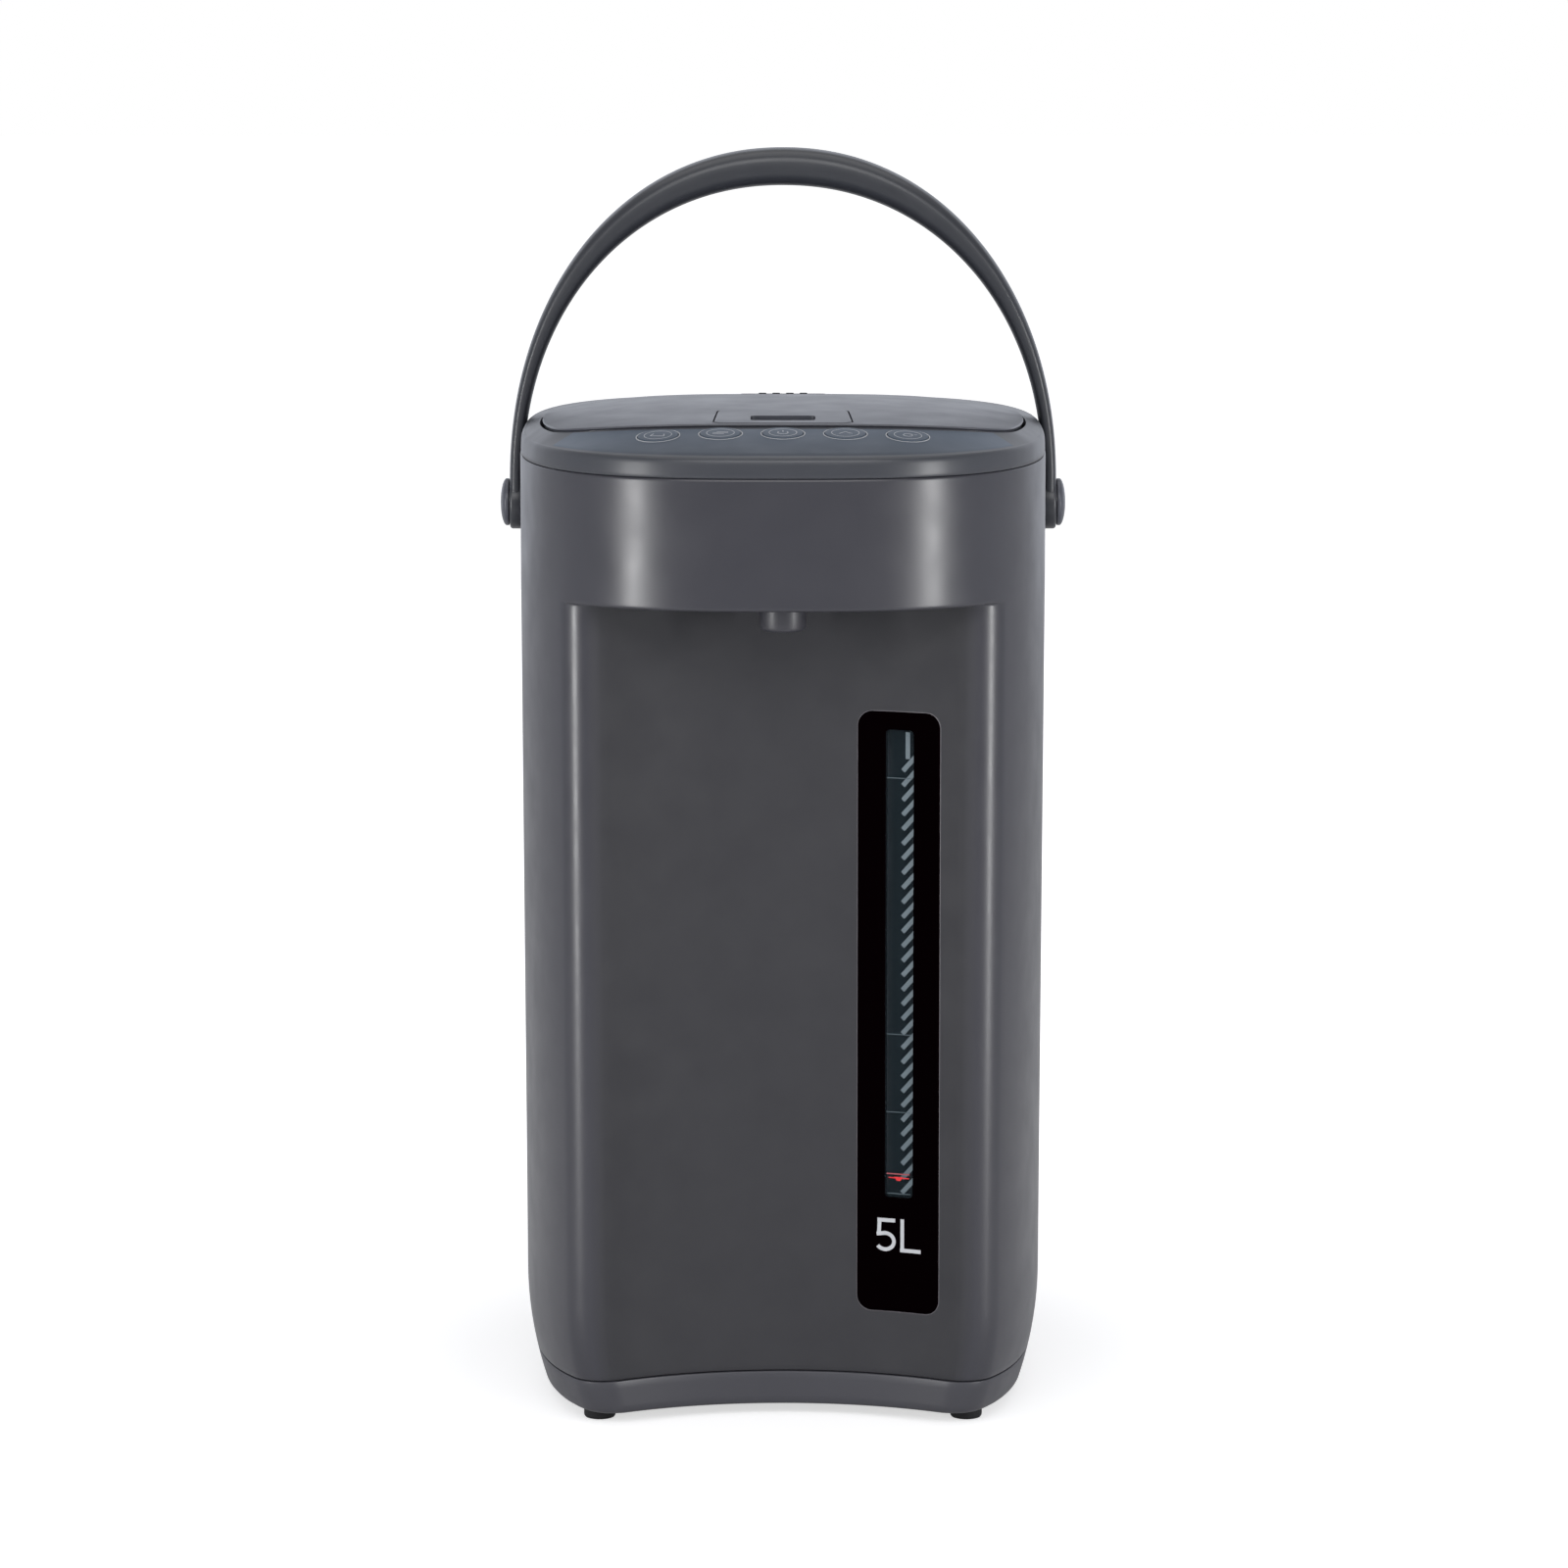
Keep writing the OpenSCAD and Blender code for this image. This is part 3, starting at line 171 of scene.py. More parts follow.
def egg(a, b, t):
    """Points of the plan outline at angles t in radians."""
    return np.stack([a * spow(np.cos(t), 2 / PLAN_N), b * spow(np.sin(t), 2 / PLAN_N)], -1)


def egg_dir(a, b, t):
    """The outward direction of the plan outline at angle t."""
    v = np.array([spow(math.cos(t), 2 - 2 / PLAN_N) / a, spow(math.sin(t), 2 - 2 / PLAN_N) / b])
    return v / np.linalg.norm(v)


def inset(z):
    """How far the body is drawn in at height z, by its draft and by the curve at its foot."""
    draft = DRAFT * max(0.0, HEAD_Z - z) / (HEAD_Z - CURVE_Z)
    return draft + CURVE_IN * (max(0.0, CURVE_Z - z) / (CURVE_Z - BASE_Z)) ** 2


def edge_t(a, b, w):
    """Angle where the bay's rounded edge meets the outline, found by halving."""
    lo, hi = math.radians(-89), math.radians(-5)
    for _ in range(40):
        mid = (lo + hi) / 2
        centre = egg(a, b, mid) - (EDGE_R - w) * egg_dir(a, b, mid)
        if np.linalg.norm(centre - BAY_C) < BAY_R + EDGE_R:
            lo = mid
        else:
            hi = mid
    return (lo + hi) / 2


def arc(centre, r, a0, a1, n):
    """n points of an arc after its first point."""
    a = a0 + (a1 - a0) * np.arange(1, n + 1) / n
    return np.asarray(centre) + r * np.stack([np.cos(a), np.sin(a)], -1)


def lift(ring, z):
    return np.column_stack([ring, np.full(len(ring), z)])


def bay_ring(z, w):
    """The body's outline below the head at height z, w inside the outer skin."""
    a, b, r = HALF_W - inset(z) - w, HALF_D - inset(z) - w, EDGE_R - w
    t = edge_t(a, b, w)
    d = egg_dir(a, b, t)
    f = egg(a, b, t) - r * d
    out = math.atan2(d[1], d[0])
    hit = math.atan2(BAY_C[1] - f[1], BAY_C[0] - f[0])
    side = egg(a, b, t + (math.pi - 2 * t) * np.arange(N_SIDE + 1) / N_SIDE)
    left = arc((-f[0], f[1]), r, math.pi - out, math.pi - hit, N_EDGE)
    bay = arc(BAY_C, BAY_R + w, -hit, math.pi + hit, N_BAY)
    right = arc(f, r, hit, out, N_EDGE)[:-1]
    return lift(np.vstack([side, left, bay, right]), z)


def head_ring(z, w):
    """The head's outline, whose points match those of bay_ring()."""
    a, b = HALF_W - inset(z) - w, HALF_D - inset(z) - w
    t = edge_t(a, b, w)
    side = egg(a, b, t + (math.pi - 2 * t) * np.arange(N_SIDE + 1) / N_SIDE)
    front = egg(a, b, math.pi - t + (math.pi + 2 * t) * np.arange(1, N_FRONT) / N_FRONT)
    return lift(np.vstack([side, front]), z)


def dome(x, y):
    """Height of the lid's top."""
    return LID_TOP - (y - CROWN_Y) ** 2 / CROWN_R - CROWN_X[1] * (np.abs(x) / CROWN_X[0]) ** CROWN_X[2]


def lid_radius(t):
    """Distance of the lid's edge from its middle: an oval cut off by a flatter front."""
    side = ((np.abs(np.cos(t)) / LID_W) ** LID_N + (np.abs(np.sin(t)) / LID_BACK) ** LID_N) ** (-1 / LID_N)
    front = ((np.abs(np.cos(t)) / LID_FRONT_W) ** 4 + (np.maximum(0, -np.sin(t)) / LID_FRONT) ** 4) ** -0.25
    return -LID_CORNER * np.log(np.exp(-side / LID_CORNER) + np.exp(-front / LID_CORNER))


def rim_points(i, w):
    """Points of the collar's outline at steps i, counted from the middle of the front."""
    return egg(HALF_W - w, HALF_D - w, -math.pi / 2 + 2 * math.pi * np.asarray(i, float) / N_LID)


def lid_points(i, g, f=1.0):
    """Points of the lid's outline grown by g, or at the share f of the way out to it."""
    p = rim_points(i, 0)
    t = np.arctan2(p[..., 1] - LID_Y, p[..., 0])
    reach = f * (lid_radius(t) + g)
    return np.array([0, LID_Y]) + reach[..., None] * np.stack([np.cos(t), np.sin(t)], -1)


ALL = np.arange(N_LID)


def rim_ring(z, w):
    return lift(rim_points(ALL, w), z)


def lid_ring(z, g):
    return lift(lid_points(ALL, g), z)


def on_dome(p, up):
    """Plan points p, up above the lid's top."""
    return np.column_stack([p, dome(p[:, 0], p[:, 1]) + up])


def dome_ring(g, f, drop):
    """A ring of lid_points() that lies drop below the lid's top."""
    return on_dome(lid_points(ALL, g, f), -drop)


def deck_points(i, f):
    """Points of the deck: f is 0 at the rim and 1 at the lid's opening."""
    r = rim_points(i, RIM_IN)
    o = lid_points(i, LID_GAP)
    a = np.concatenate([r, np.full(r.shape[:-1] + (1,), RIM_Z)], -1)
    b = np.concatenate([o, (dome(o[..., 0], o[..., 1]) - DECK_DROP)[..., None]], -1)
    return a + (b - a) * np.asarray(f, float)[..., None]


def key_frame(x):
    """The matrix that puts a key at x on the panel, with Z along its travel, in millimetres."""
    def share(i):
        a, b = deck_points(i, 0.0), deck_points(i, 1.0)
        return (KEY_Y - a[1]) / (b[1] - a[1])

    lo, hi = -N_LID * PANEL_A / 360, N_LID * PANEL_A / 360
    for _ in range(40):
        mid = (lo + hi) / 2
        if deck_points(mid, share(mid))[0] < x:
            lo = mid
        else:
            hi = mid
    f = share(lo)
    along = Vector(deck_points(lo + 2, f) - deck_points(lo - 2, f)).normalized()
    across = Vector(deck_points(lo, f + 0.05) - deck_points(lo, f - 0.05))
    up = along.cross(across).normalized()
    across = up.cross(along)
    m = Matrix((along, across, up)).transposed().to_4x4()
    m.translation = Vector(deck_points(lo, f))
    return m


# ---- Mesh helpers ----

def piece(name, verts, faces, body, mat, sharp=32.0):
    """A mesh piece from points in millimetres, with its normals out and its creases kept sharp."""
    mesh = bpy.data.meshes.new(name)
    mesh.from_pydata((np.asarray(verts, float) * MM).tolist(), [], [list(map(int, f)) for f in faces])
    bm = bmesh.new()
    bm.from_mesh(mesh)
    bmesh.ops.remove_doubles(bm, verts=bm.verts, dist=2e-6)
    bmesh.ops.recalc_face_normals(bm, faces=bm.faces)
    bm.to_mesh(mesh)
    bm.free()
    obj = bpy.data.objects.new(name, mesh)
    bpy.context.scene.collection.objects.link(obj)
    finish_shade(obj, sharp)
    if mat:
        mesh.materials.append(mat)
    if body:
        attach(obj, body)
    return obj


def finish_shade(obj, sharp=32.0):
    obj.data.shade_smooth()
    obj.data.set_sharp_from_angle(angle=math.radians(sharp))


def loft(rings, loop=False, caps=True):
    """Quads between neighbouring rings, closed by fans, or as a loop that joins the last to the first."""
    rings = [np.asarray(r) for r in rings]
    n, m = len(rings[0]), len(rings)
    verts = np.vstack(rings)
    faces = []
    for k in range(m if loop else m - 1):
        a, b = k * n, ((k + 1) % m) * n
        faces += [(a + i, a + (i + 1) % n, b + (i + 1) % n, b + i) for i in range(n)]
    if caps and not loop:
        verts = np.vstack([verts, rings[0].mean(0), rings[-1].mean(0)])
        faces += [((i + 1) % n, i, n * m) for i in range(n)]
        faces += [(n * (m - 1) + i, n * (m - 1) + (i + 1) % n, n * m + 1) for i in range(n)]
    return verts, faces


def revolve(profile, n=96):
    """Rings round Z from (radius, height) points; a radius of 0 closes an end."""
    a = 2 * math.pi * np.arange(n) / n
    return [np.column_stack([r * np.cos(a), r * np.sin(a), np.full(n, z)]) for r, z in profile]


def cylinder(r, z0, z1, n=64):
    """A closed cylinder on the Z axis, with n sides."""
    return loft(revolve([(r, z0), (r, z1)], n))


def placed(verts, origin, turn=None):
    """Points turned by a 3x3 matrix and moved to origin."""
    verts = np.asarray(verts, float)
    if turn is not None:
        verts = verts @ np.asarray(turn).T
    return verts + np.asarray(origin)


Z_TO_X = np.array([[0, 0, 1], [0, 1, 0], [-1, 0, 0]], float)
Z_TO_Y = np.array([[1, 0, 0], [0, 0, 1], [0, -1, 0]], float)


def rounded(corners, r, n_arc=8, n_side=6):
    """A rounded polygon through corners, in order, with n_side points along each side."""
    corners = [np.asarray(c, float) for c in corners]
    out = []
    for k, c in enumerate(corners):
        before, after = corners[k - 1] - c, corners[(k + 1) % len(corners)] - c
        before, after = before / np.linalg.norm(before), after / np.linalg.norm(after)
        half = math.acos(np.clip(before @ after, -1, 1)) / 2
        mid = (before + after) / np.linalg.norm(before + after)
        centre = c + mid * r / math.sin(half)
        p, q = c + before * r / math.tan(half), c + after * r / math.tan(half)
        a0, a1 = math.atan2(*(p - centre)[::-1]), math.atan2(*(q - centre)[::-1])
        a1 = a0 + (a1 - a0 + math.pi) % (2 * math.pi) - math.pi
        if out:
            start = out[-1]
            out += [start + (p - start) * j / n_side for j in range(1, n_side)]
        out += [p] + list(arc(centre, r, a0, a1, n_arc))
    start, p = out[-1], out[0]
    out += [start + (p - start) * j / n_side for j in range(1, n_side)]
    return np.array(out)


def rect(w, h, x=0.0, y=0.0):
    return [(x - w / 2, y - h / 2), (x + w / 2, y - h / 2), (x + w / 2, y + h / 2), (x - w / 2, y + h / 2)]


def moved(shape, origin, turn=None):
    """A shape, which is its points and faces, turned and moved."""
    return placed(shape[0], origin, turn), shape[1]


def cut(obj, shape):
    """Cuts a closed shape out of an object."""
    cutter = piece("cutter", *shape, None, None)
    mod = obj.modifiers.new("cut", "BOOLEAN")
    mod.operation = "DIFFERENCE"
    mod.solver = "EXACT"
    mod.object = cutter
    graph = bpy.context.evaluated_depsgraph_get()
    mesh = bpy.data.meshes.new_from_object(obj.evaluated_get(graph))
    obj.modifiers.remove(mod)
    old = obj.data
    obj.data = mesh
    mesh.name = old.name
    bpy.data.meshes.remove(old)
    bpy.data.objects.remove(cutter)
    finish_shade(obj)


def prism(outline, z0, z1):
    """A closed shape from a plan outline."""
    return loft([lift(outline, z0), lift(outline, z1)])


def bay_loop(outline, r):
    """An outline of (across, height) points laid on the bay's wall at radius r, about the window's line."""
    a = math.radians(90 - WINDOW_A) - np.arcsin(outline[:, 0] / r)
    return np.column_stack([BAY_C[0] + r * np.cos(a), BAY_C[1] + r * np.sin(a), outline[:, 1]])


# ---- Materials ----

def srgb(r, g, b):
    """A colour of 0 to 255 as the linear values that Blender's sockets take."""
    linear = [((v / 255 + 0.055) / 1.055) ** 2.4 if v > 10 else v / 255 / 12.92 for v in (r, g, b)]
    return tuple(linear) + (1.0,)


def set_inputs(node, **inputs):
    """Sets a node's inputs by their names, in which _ stands for a space."""
    for name, value in inputs.items():
        node.inputs[name.replace("_", " ")].default_value = value


def new_node(tree, kind, **inputs):
    """A new node with its inputs set."""
    node = tree.nodes.new(kind)
    set_inputs(node, **inputs)
    return node


def nodes_of(name):
    """A new material, its node tree and its shader."""
    mat = bpy.data.materials.new(name)
    mat.use_nodes = True
    tree = mat.node_tree
    return mat, tree, tree.nodes["Principled BSDF"]


def object_coords(tree):
    return new_node(tree, "ShaderNodeTexCoord").outputs["Object"]


def noise(tree, coords, scale, detail=3.0, rough=0.5):
    node = new_node(tree, "ShaderNodeTexNoise", Scale=scale, Detail=detail, Roughness=rough)
    tree.links.new(coords, node.inputs["Vector"])
    return node.outputs["Fac"]


def spread(tree, value, lo, hi, start=0.3, end=0.7):
    """Maps a value between start and end to the range lo to hi."""
    node = new_node(tree, "ShaderNodeMapRange", From_Min=start, From_Max=end, To_Min=lo, To_Max=hi)
    tree.links.new(value, node.inputs["Value"])
    return node.outputs["Result"]


def bump(tree, shader, height, strength, distance):
    node = new_node(tree, "ShaderNodeBump", Strength=strength, Distance=distance)
    tree.links.new(height, node.inputs["Height"])
    tree.links.new(node.outputs["Normal"], shader.inputs["Normal"])


def mix_colour(tree, fac, a, b):
    node = new_node(tree, "ShaderNodeMix")
    node.data_type = "RGBA"
    set_inputs(node, A=a, B=b)
    tree.links.new(fac, node.inputs["Factor"])
    return node.outputs["Result"]


def maths(tree, operation, *values):
    """The result of a math node on values, each a number or another node's output."""
    node = new_node(tree, "ShaderNodeMath")
    node.operation = operation
    for value, socket in zip(values, node.inputs):
        if isinstance(value, float):
            socket.default_value = value
        else:
            tree.links.new(value, socket)
    return node.outputs["Value"]


def length_of(tree, vector):
    """The length of a vector."""
    node = new_node(tree, "ShaderNodeVectorMath")
    node.operation = "LENGTH"
    tree.links.new(vector, node.inputs[0])
    return node.outputs["Value"]


def moulded(name, colour, rough, grain=900.0, depth=0.25, tone=0.04, specular=0.5):
    """Moulded or printed plastic: a fine grain, and a faint unevenness in gloss and in tone."""
    mat, tree, shader = nodes_of(name)
    coords = object_coords(tree)
    dark = tuple(c * (1 - tone) for c in colour[:3]) + (1.0,)
    light = tuple(min(1.0, c * (1 + tone)) for c in colour[:3]) + (1.0,)
    cloud = noise(tree, coords, 14.0, 4.0, 0.6)
    tree.links.new(mix_colour(tree, spread(tree, cloud, 0, 1), dark, light), shader.inputs["Base Color"])
    gloss = spread(tree, noise(tree, coords, 60.0), rough * 0.9, rough * 1.1)
    tree.links.new(gloss, shader.inputs["Roughness"])
    set_inputs(shader, Specular_IOR_Level=specular)
    bump(tree, shader, noise(tree, coords, grain, 2.0), depth, 0.00004)
    return mat


def metal(name, colour, rough, stretch=(1.0, 1.0, 40.0), depth=0.3):
    """Brushed or drawn metal, with its marks stretched along one direction."""
    mat, tree, shader = nodes_of(name)
    coords = object_coords(tree)
    scale = new_node(tree, "ShaderNodeMapping", Scale=stretch)
    tree.links.new(coords, scale.inputs["Vector"])
    marks = noise(tree, scale.outputs["Vector"], 90.0, 4.0, 0.6)
    dark = tuple(c * 0.9 for c in colour[:3]) + (1.0,)
    tree.links.new(mix_colour(tree, spread(tree, marks, 0, 1), dark, colour), shader.inputs["Base Color"])
    tree.links.new(spread(tree, marks, rough * 0.85, rough * 1.2), shader.inputs["Roughness"])
    set_inputs(shader, Metallic=1.0)
    bump(tree, shader, marks, depth, 0.00003)
    return mat


def clear(name, colour, alpha, rough, specular):
    """Clear glass or plastic, as a tinted sheet that reflects."""
    mat, tree, shader = nodes_of(name)
    set_inputs(shader, Base_Color=colour, Alpha=alpha, Specular_IOR_Level=specular)
    gloss = spread(tree, noise(tree, object_coords(tree), 40.0), rough * 0.7, rough * 1.4)
    tree.links.new(gloss, shader.inputs["Roughness"])
    return mat


def blend(mat, mask, colour, rougher):
    """Blends another colour, and a rise in roughness, into a plastic where the mask is 1."""
    tree = mat.node_tree
    shader = tree.nodes["Principled BSDF"]
    mix = mix_colour(tree, mask, colour, colour)
    tree.links.new(shader.inputs["Base Color"].links[0].from_socket, mix.node.inputs["A"])
    tree.links.new(mix, shader.inputs["Base Color"])
    gloss = shader.inputs["Roughness"].links[0].from_socket
    tree.links.new(maths(tree, "MULTIPLY_ADD", mask, rougher, gloss), shader.inputs["Roughness"])


def axis(tree, name):
    """One of an object's own coordinates, in metres."""
    node = new_node(tree, "ShaderNodeSeparateXYZ")
    tree.links.new(object_coords(tree), node.inputs["Vector"])
    return node.outputs[name]


def bay_mask(tree):
    """1 on the bay's wall, which lies at the bay's radius below the head, and 0 elsewhere."""
    centred = (0.0, -BAY_C[1] * MM, 0.0)
    flat = new_node(tree, "ShaderNodeMapping", Location=centred, Scale=(1.0, 1.0, 0.0))
    tree.links.new(object_coords(tree), flat.inputs["Vector"])
    length = length_of(tree, flat.outputs["Vector"])
    below = spread(tree, axis(tree, "Z"), 1.0, 0.0, (HEAD_Z - 1) * MM, (HEAD_Z + 1) * MM)
    near = spread(tree, length, 1.0, 0.0, (BAY_R + 0.3) * MM, (BAY_R + 3.0) * MM)
    return maths(tree, "MULTIPLY", near, below)


MAT = {
    "casing": moulded("slate_plastic", srgb(50, 50, 57), 0.34, depth=0.12, specular=0.6),
    "base": moulded("base_plastic", srgb(62, 62, 68), 0.44, depth=0.3),
    "collar": moulded("collar_plastic", srgb(58, 60, 66), 0.36, depth=0.12, specular=0.45),
    # Pale grey that paints the highlight on the window plate's edge
    "pale_highlight": moulded("painted_edge_highlight", srgb(104, 100, 105), 0.4, depth=0.1),
    "lid": moulded("lid_plastic", srgb(76, 78, 86), 0.36, depth=0.15),
    "panel": moulded("panel_film", srgb(72, 84, 99), 0.4, depth=0.03, specular=0.4),
    "key": moulded("key_film", srgb(74, 86, 101), 0.4, depth=0.03, specular=0.4),
    "print": moulded("light_print", srgb(186, 188, 192), 0.5, depth=0.1),
    "handle": moulded("handle_plastic", srgb(44, 46, 52), 0.36, depth=0.2, specular=0.6),
    "cap": moulded("cap_plastic", srgb(74, 76, 85), 0.34, depth=0.2),
    "nozzle": moulded("nozzle_plastic", srgb(58, 58, 64), 0.4, depth=0.15),
    "window": moulded("window_gloss", srgb(4, 1, 2), 0.24, depth=0.02, tone=0.0, specular=0.0),
    "strip": moulded("scale_film", srgb(34, 43, 51), 0.45, depth=0.2, tone=0.2),
    # Bar print, also used for a painted highlight of the tube
    "bar": moulded("bar_print_and_highlight", srgb(98, 112, 120), 0.5, depth=0.1, tone=0.15),
    "red": moulded("red_print", srgb(215, 24, 32), 0.4, depth=0.1),
    "dull_red": moulded("dull_red_print", srgb(150, 66, 72), 0.4, depth=0.1),
    # Faint print, also used for a painted highlight line on the pane
    "faint": moulded("faint_print_and_highlight", srgb(66, 80, 88), 0.5, depth=0.1),
    "rubber": moulded("foot_rubber", srgb(34, 34, 36), 0.7, depth=0.5, specular=0.3),
    # Dark plastic, used also as painted shade in the vent's openings and the latch's finger cup
    "dark": moulded("dark_plastic_and_shade", srgb(36, 37, 41), 0.5, depth=0.3),
    "black": moulded("black_plastic", srgb(52, 53, 57), 0.5, depth=0.3),
    "white": moulded("white_plastic", srgb(222, 220, 212), 0.45, depth=0.2),
    "silicone": moulded("silicone", srgb(225, 224, 218), 0.4, depth=0.15),
    "board": moulded("board_lacquer", srgb(38, 96, 60), 0.3, depth=0.3, tone=0.15),
    "felt": moulded("felt", srgb(176, 168, 150), 0.9, grain=400.0, depth=0.8, tone=0.12),
    "steel": metal("drawn_steel", (0.62, 0.62, 0.63, 1.0), 0.24),
    "lid_steel": metal("lid_steel", (0.62, 0.62, 0.63, 1.0), 0.26, (1.0, 40.0, 1.0), 0.15),
    "pin": metal("pin_steel", (0.6, 0.6, 0.61, 1.0), 0.3, (40.0, 1.0, 1.0)),
    "alloy": metal("cast_alloy", (0.5, 0.5, 0.52, 1.0), 0.45, (3.0, 3.0, 3.0), 0.6),
    "copper": metal("copper_wire", (0.75, 0.45, 0.25, 1.0), 0.35, (1.0, 1.0, 60.0)),
    "lens": clear("clear_lens", srgb(110, 130, 142), 0.03, 0.15, 0.1),
    "tube": clear("clear_tube", srgb(90, 115, 130), 0.03, 0.15, 0.2),
}


def matt_shaded_bay(mat):
    """Makes the bay's wall matt, so it doesn't mirror the strip lights, and darker as painted shade."""
    # Painted shade: the darker colour stands for the shade in the recess.
    blend(mat, bay_mask(mat.node_tree), srgb(37, 37, 42), 0.4)


def paint_front_shade(mat):
    """Paints shade into a film: darker towards the front edge of the control panel."""
    tree = mat.node_tree
    front, back = -142 * MM, -106 * MM
    # Painted shade: the front edge gets a darker colour, as less light falls there.
    blend(mat, spread(tree, axis(tree, "Y"), 1.0, 0.0, front, back), srgb(40, 50, 63), 0.0)


matt_shaded_bay(MAT["casing"])
paint_front_shade(MAT["panel"])
paint_front_shade(MAT["key"])


# ---- Piece helpers ----

def add(name, shape, body, mat, nodes=(), sharp=32.0):
    """A finished piece: its body and the CAD nodes that it stands for."""
    obj = piece(name, *shape, body, MAT[mat], sharp)
    if nodes:
        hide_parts(*nodes)
    return obj


def shrink(outline, d):
    """A smooth closed outline, run counterclockwise, moved inwards by d."""
    along = np.roll(outline, -1, 0) - np.roll(outline, 1, 0)
    along /= np.linalg.norm(along, axis=1)[:, None]
    return outline + d * np.stack([-along[:, 1], along[:, 0]], -1)


def quarter(r, steps=5):
    """Steps round an edge of radius r: how far in and how far down each one lies."""
    return [(r * (1 - math.sin(a)), r * (1 - math.cos(a)))
            for a in (math.pi / 2 * k / steps for k in range(steps + 1))]


def slab(outline, z0, z1, r):
    """A flat plate with its upper edge rounded, and a smaller chamfer below."""
    rings = [lift(shrink(outline, 0.3 * r), z0), lift(outline, z0 + 0.3 * r)]
    rings += [lift(shrink(outline, d), z1 - down) for d, down in reversed(quarter(r))]
    return loft(rings)


def block(lo, hi, r=0.4):
    """A box with its upright edges and upper edge rounded."""
    size = np.subtract(hi, lo)
    mid = np.add(lo, hi) / 2
    return slab(rounded(rect(size[0], size[1], mid[0], mid[1]), 1.5 * r, 4, 2), lo[2], hi[2], r)


def joined(*shapes):
    """Several shapes as one mesh."""
    verts, faces, start = [], [], 0
    for v, f in shapes:
        verts.append(v)
        faces += [tuple(start + i for i in face) for face in f]
        start += len(v)
    return np.vstack(verts), faces


def x_extrude(outline, x0, x1):
    """An outline of (y, z) points drawn out along X, with both ends chamfered."""
    r = 0.3
    rings = [(x0, r), (x0 + r, 0), (x1 - r, 0), (x1, r)]
    shapes = [np.column_stack([np.full(len(outline), x), shrink(outline, d)]) for x, d in rings]
    n, m = len(outline), len(rings)
    verts, faces = loft(shapes, caps=False)
    return verts, faces + [tuple(reversed(range(n))), tuple(range(n * (m - 1), n * m))]


SIDES = ((-1, "left"), (1, "right"))


def on_pivot(profile, x, side):
    """A turned shape on the handle's axis, which starts at x and grows outwards on one side."""
    verts, faces = loft(revolve(profile), caps=False)
    return placed(verts, (x, PIVOT_Y, PIVOT_Z), Z_TO_X) * (side, 1, 1), faces


# ---- Body shells ----

def edge_rings(lower, upper, r_in, r_out):
    """From the bay's wall forward under the head and up its front, with both corners rounded."""
    gap = upper[:, :2] - lower[:, :2]
    dist = np.linalg.norm(gap, axis=1)[:, None]
    way = gap / np.maximum(dist, 1e-9)
    inner = quarter(np.minimum(r_in, 0.45 * dist))
    outer = quarter(np.minimum(r_out, 0.45 * dist))
    rings = [np.hstack([lower[:, :2] + way * out, HEAD_Z - down]) for down, out in inner]
    return rings + [np.hstack([upper[:, :2] - way * back, HEAD_Z + up]) for back, up in outer]


def casing_shell():
    """The casing: outside from the seam up, then down the inside of its walls."""
    low = SEAM_Z + SEAM_GAP
    curve = [low + 1.0 + (CURVE_Z - low - 1.0) * (k / 18) for k in range(1, 19)]
    straight = [CURVE_Z + (HEAD_Z - 3 - CURVE_Z) * k / 14 for k in range(1, 15)]
    inner = [low] + curve[3::5] + [HEAD_Z + HEAD_T]
    rings = [bay_ring(low, 0.7), bay_ring(low + 0.2, 0.22), bay_ring(low + 0.8, 0.0)]
    rings += [bay_ring(z, 0.0) for z in curve + straight]
    rings += edge_rings(bay_ring(HEAD_Z, 0.0), head_ring(HEAD_Z, 0.0), 1.2, 1.4)
    rings += [head_ring(HEAD_Z + 2 + (CASING_Z - HEAD_Z - 3) * k / 5, 0.0) for k in range(6)]
    rings += [head_ring(CASING_Z - 0.5, 0.06), head_ring(CASING_Z - 0.15, 0.3), head_ring(CASING_Z, 0.7)]
    rings += [head_ring(CASING_Z, WALL), head_ring(HEAD_Z + HEAD_T, WALL)]
    rings += [bay_ring(z, WALL) for z in reversed(inner)]
    shell = add("casing_shell", loft(rings, loop=True), "pot_body", "casing", ["casing"])

    window_h, slot_h = WINDOW_Z[1] - WINDOW_Z[0], SLOT_Z[1] - SLOT_Z[0]
    pocket = rounded(rect(WINDOW_W + 0.3, window_h + 0.3, 0, sum(WINDOW_Z) / 2), WINDOW_CORNER)
    slot = rounded(rect(SLOT_W + 2, slot_h + 3, 0, sum(SLOT_Z) / 2), 2.0)
    cut(shell, loft([bay_loop(pocket, BAY_R - 4), bay_loop(pocket, POCKET_BACK)]))
    cut(shell, loft([bay_loop(slot, BAY_R), bay_loop(slot, BAY_R + 6)]))
    cut(shell, moved(cylinder(NOZZLE_R, 0, 6), (0, SPOUT_Y, HEAD_Z - 1)))
    inlet = prism(rounded(rect(INLET_W, INLET_H), 1.2), 0, 20)
    cut(shell, moved(inlet, (0, HALF_D - 12, INLET_Z), Z_TO_Y))


def handle_pads():
    """The round pads on the casing's sides that the handle turns on."""
    profile = [(0, 0), (PAD_R, 0), (PAD_R, 7.6), (PAD_R - 0.3, 8.3)]
    profile += [(PAD_R - 1.0, PAD_T), (PAD_R - 4, PAD_T), (0, PAD_T)]
    for side, name in SIDES:
        shape = on_pivot(profile, HANDLE_IN - PIVOT_GAP - PAD_T, side)
        add(f"handle_pad_{name}", shape, "pot_body", "casing", ["casing"])


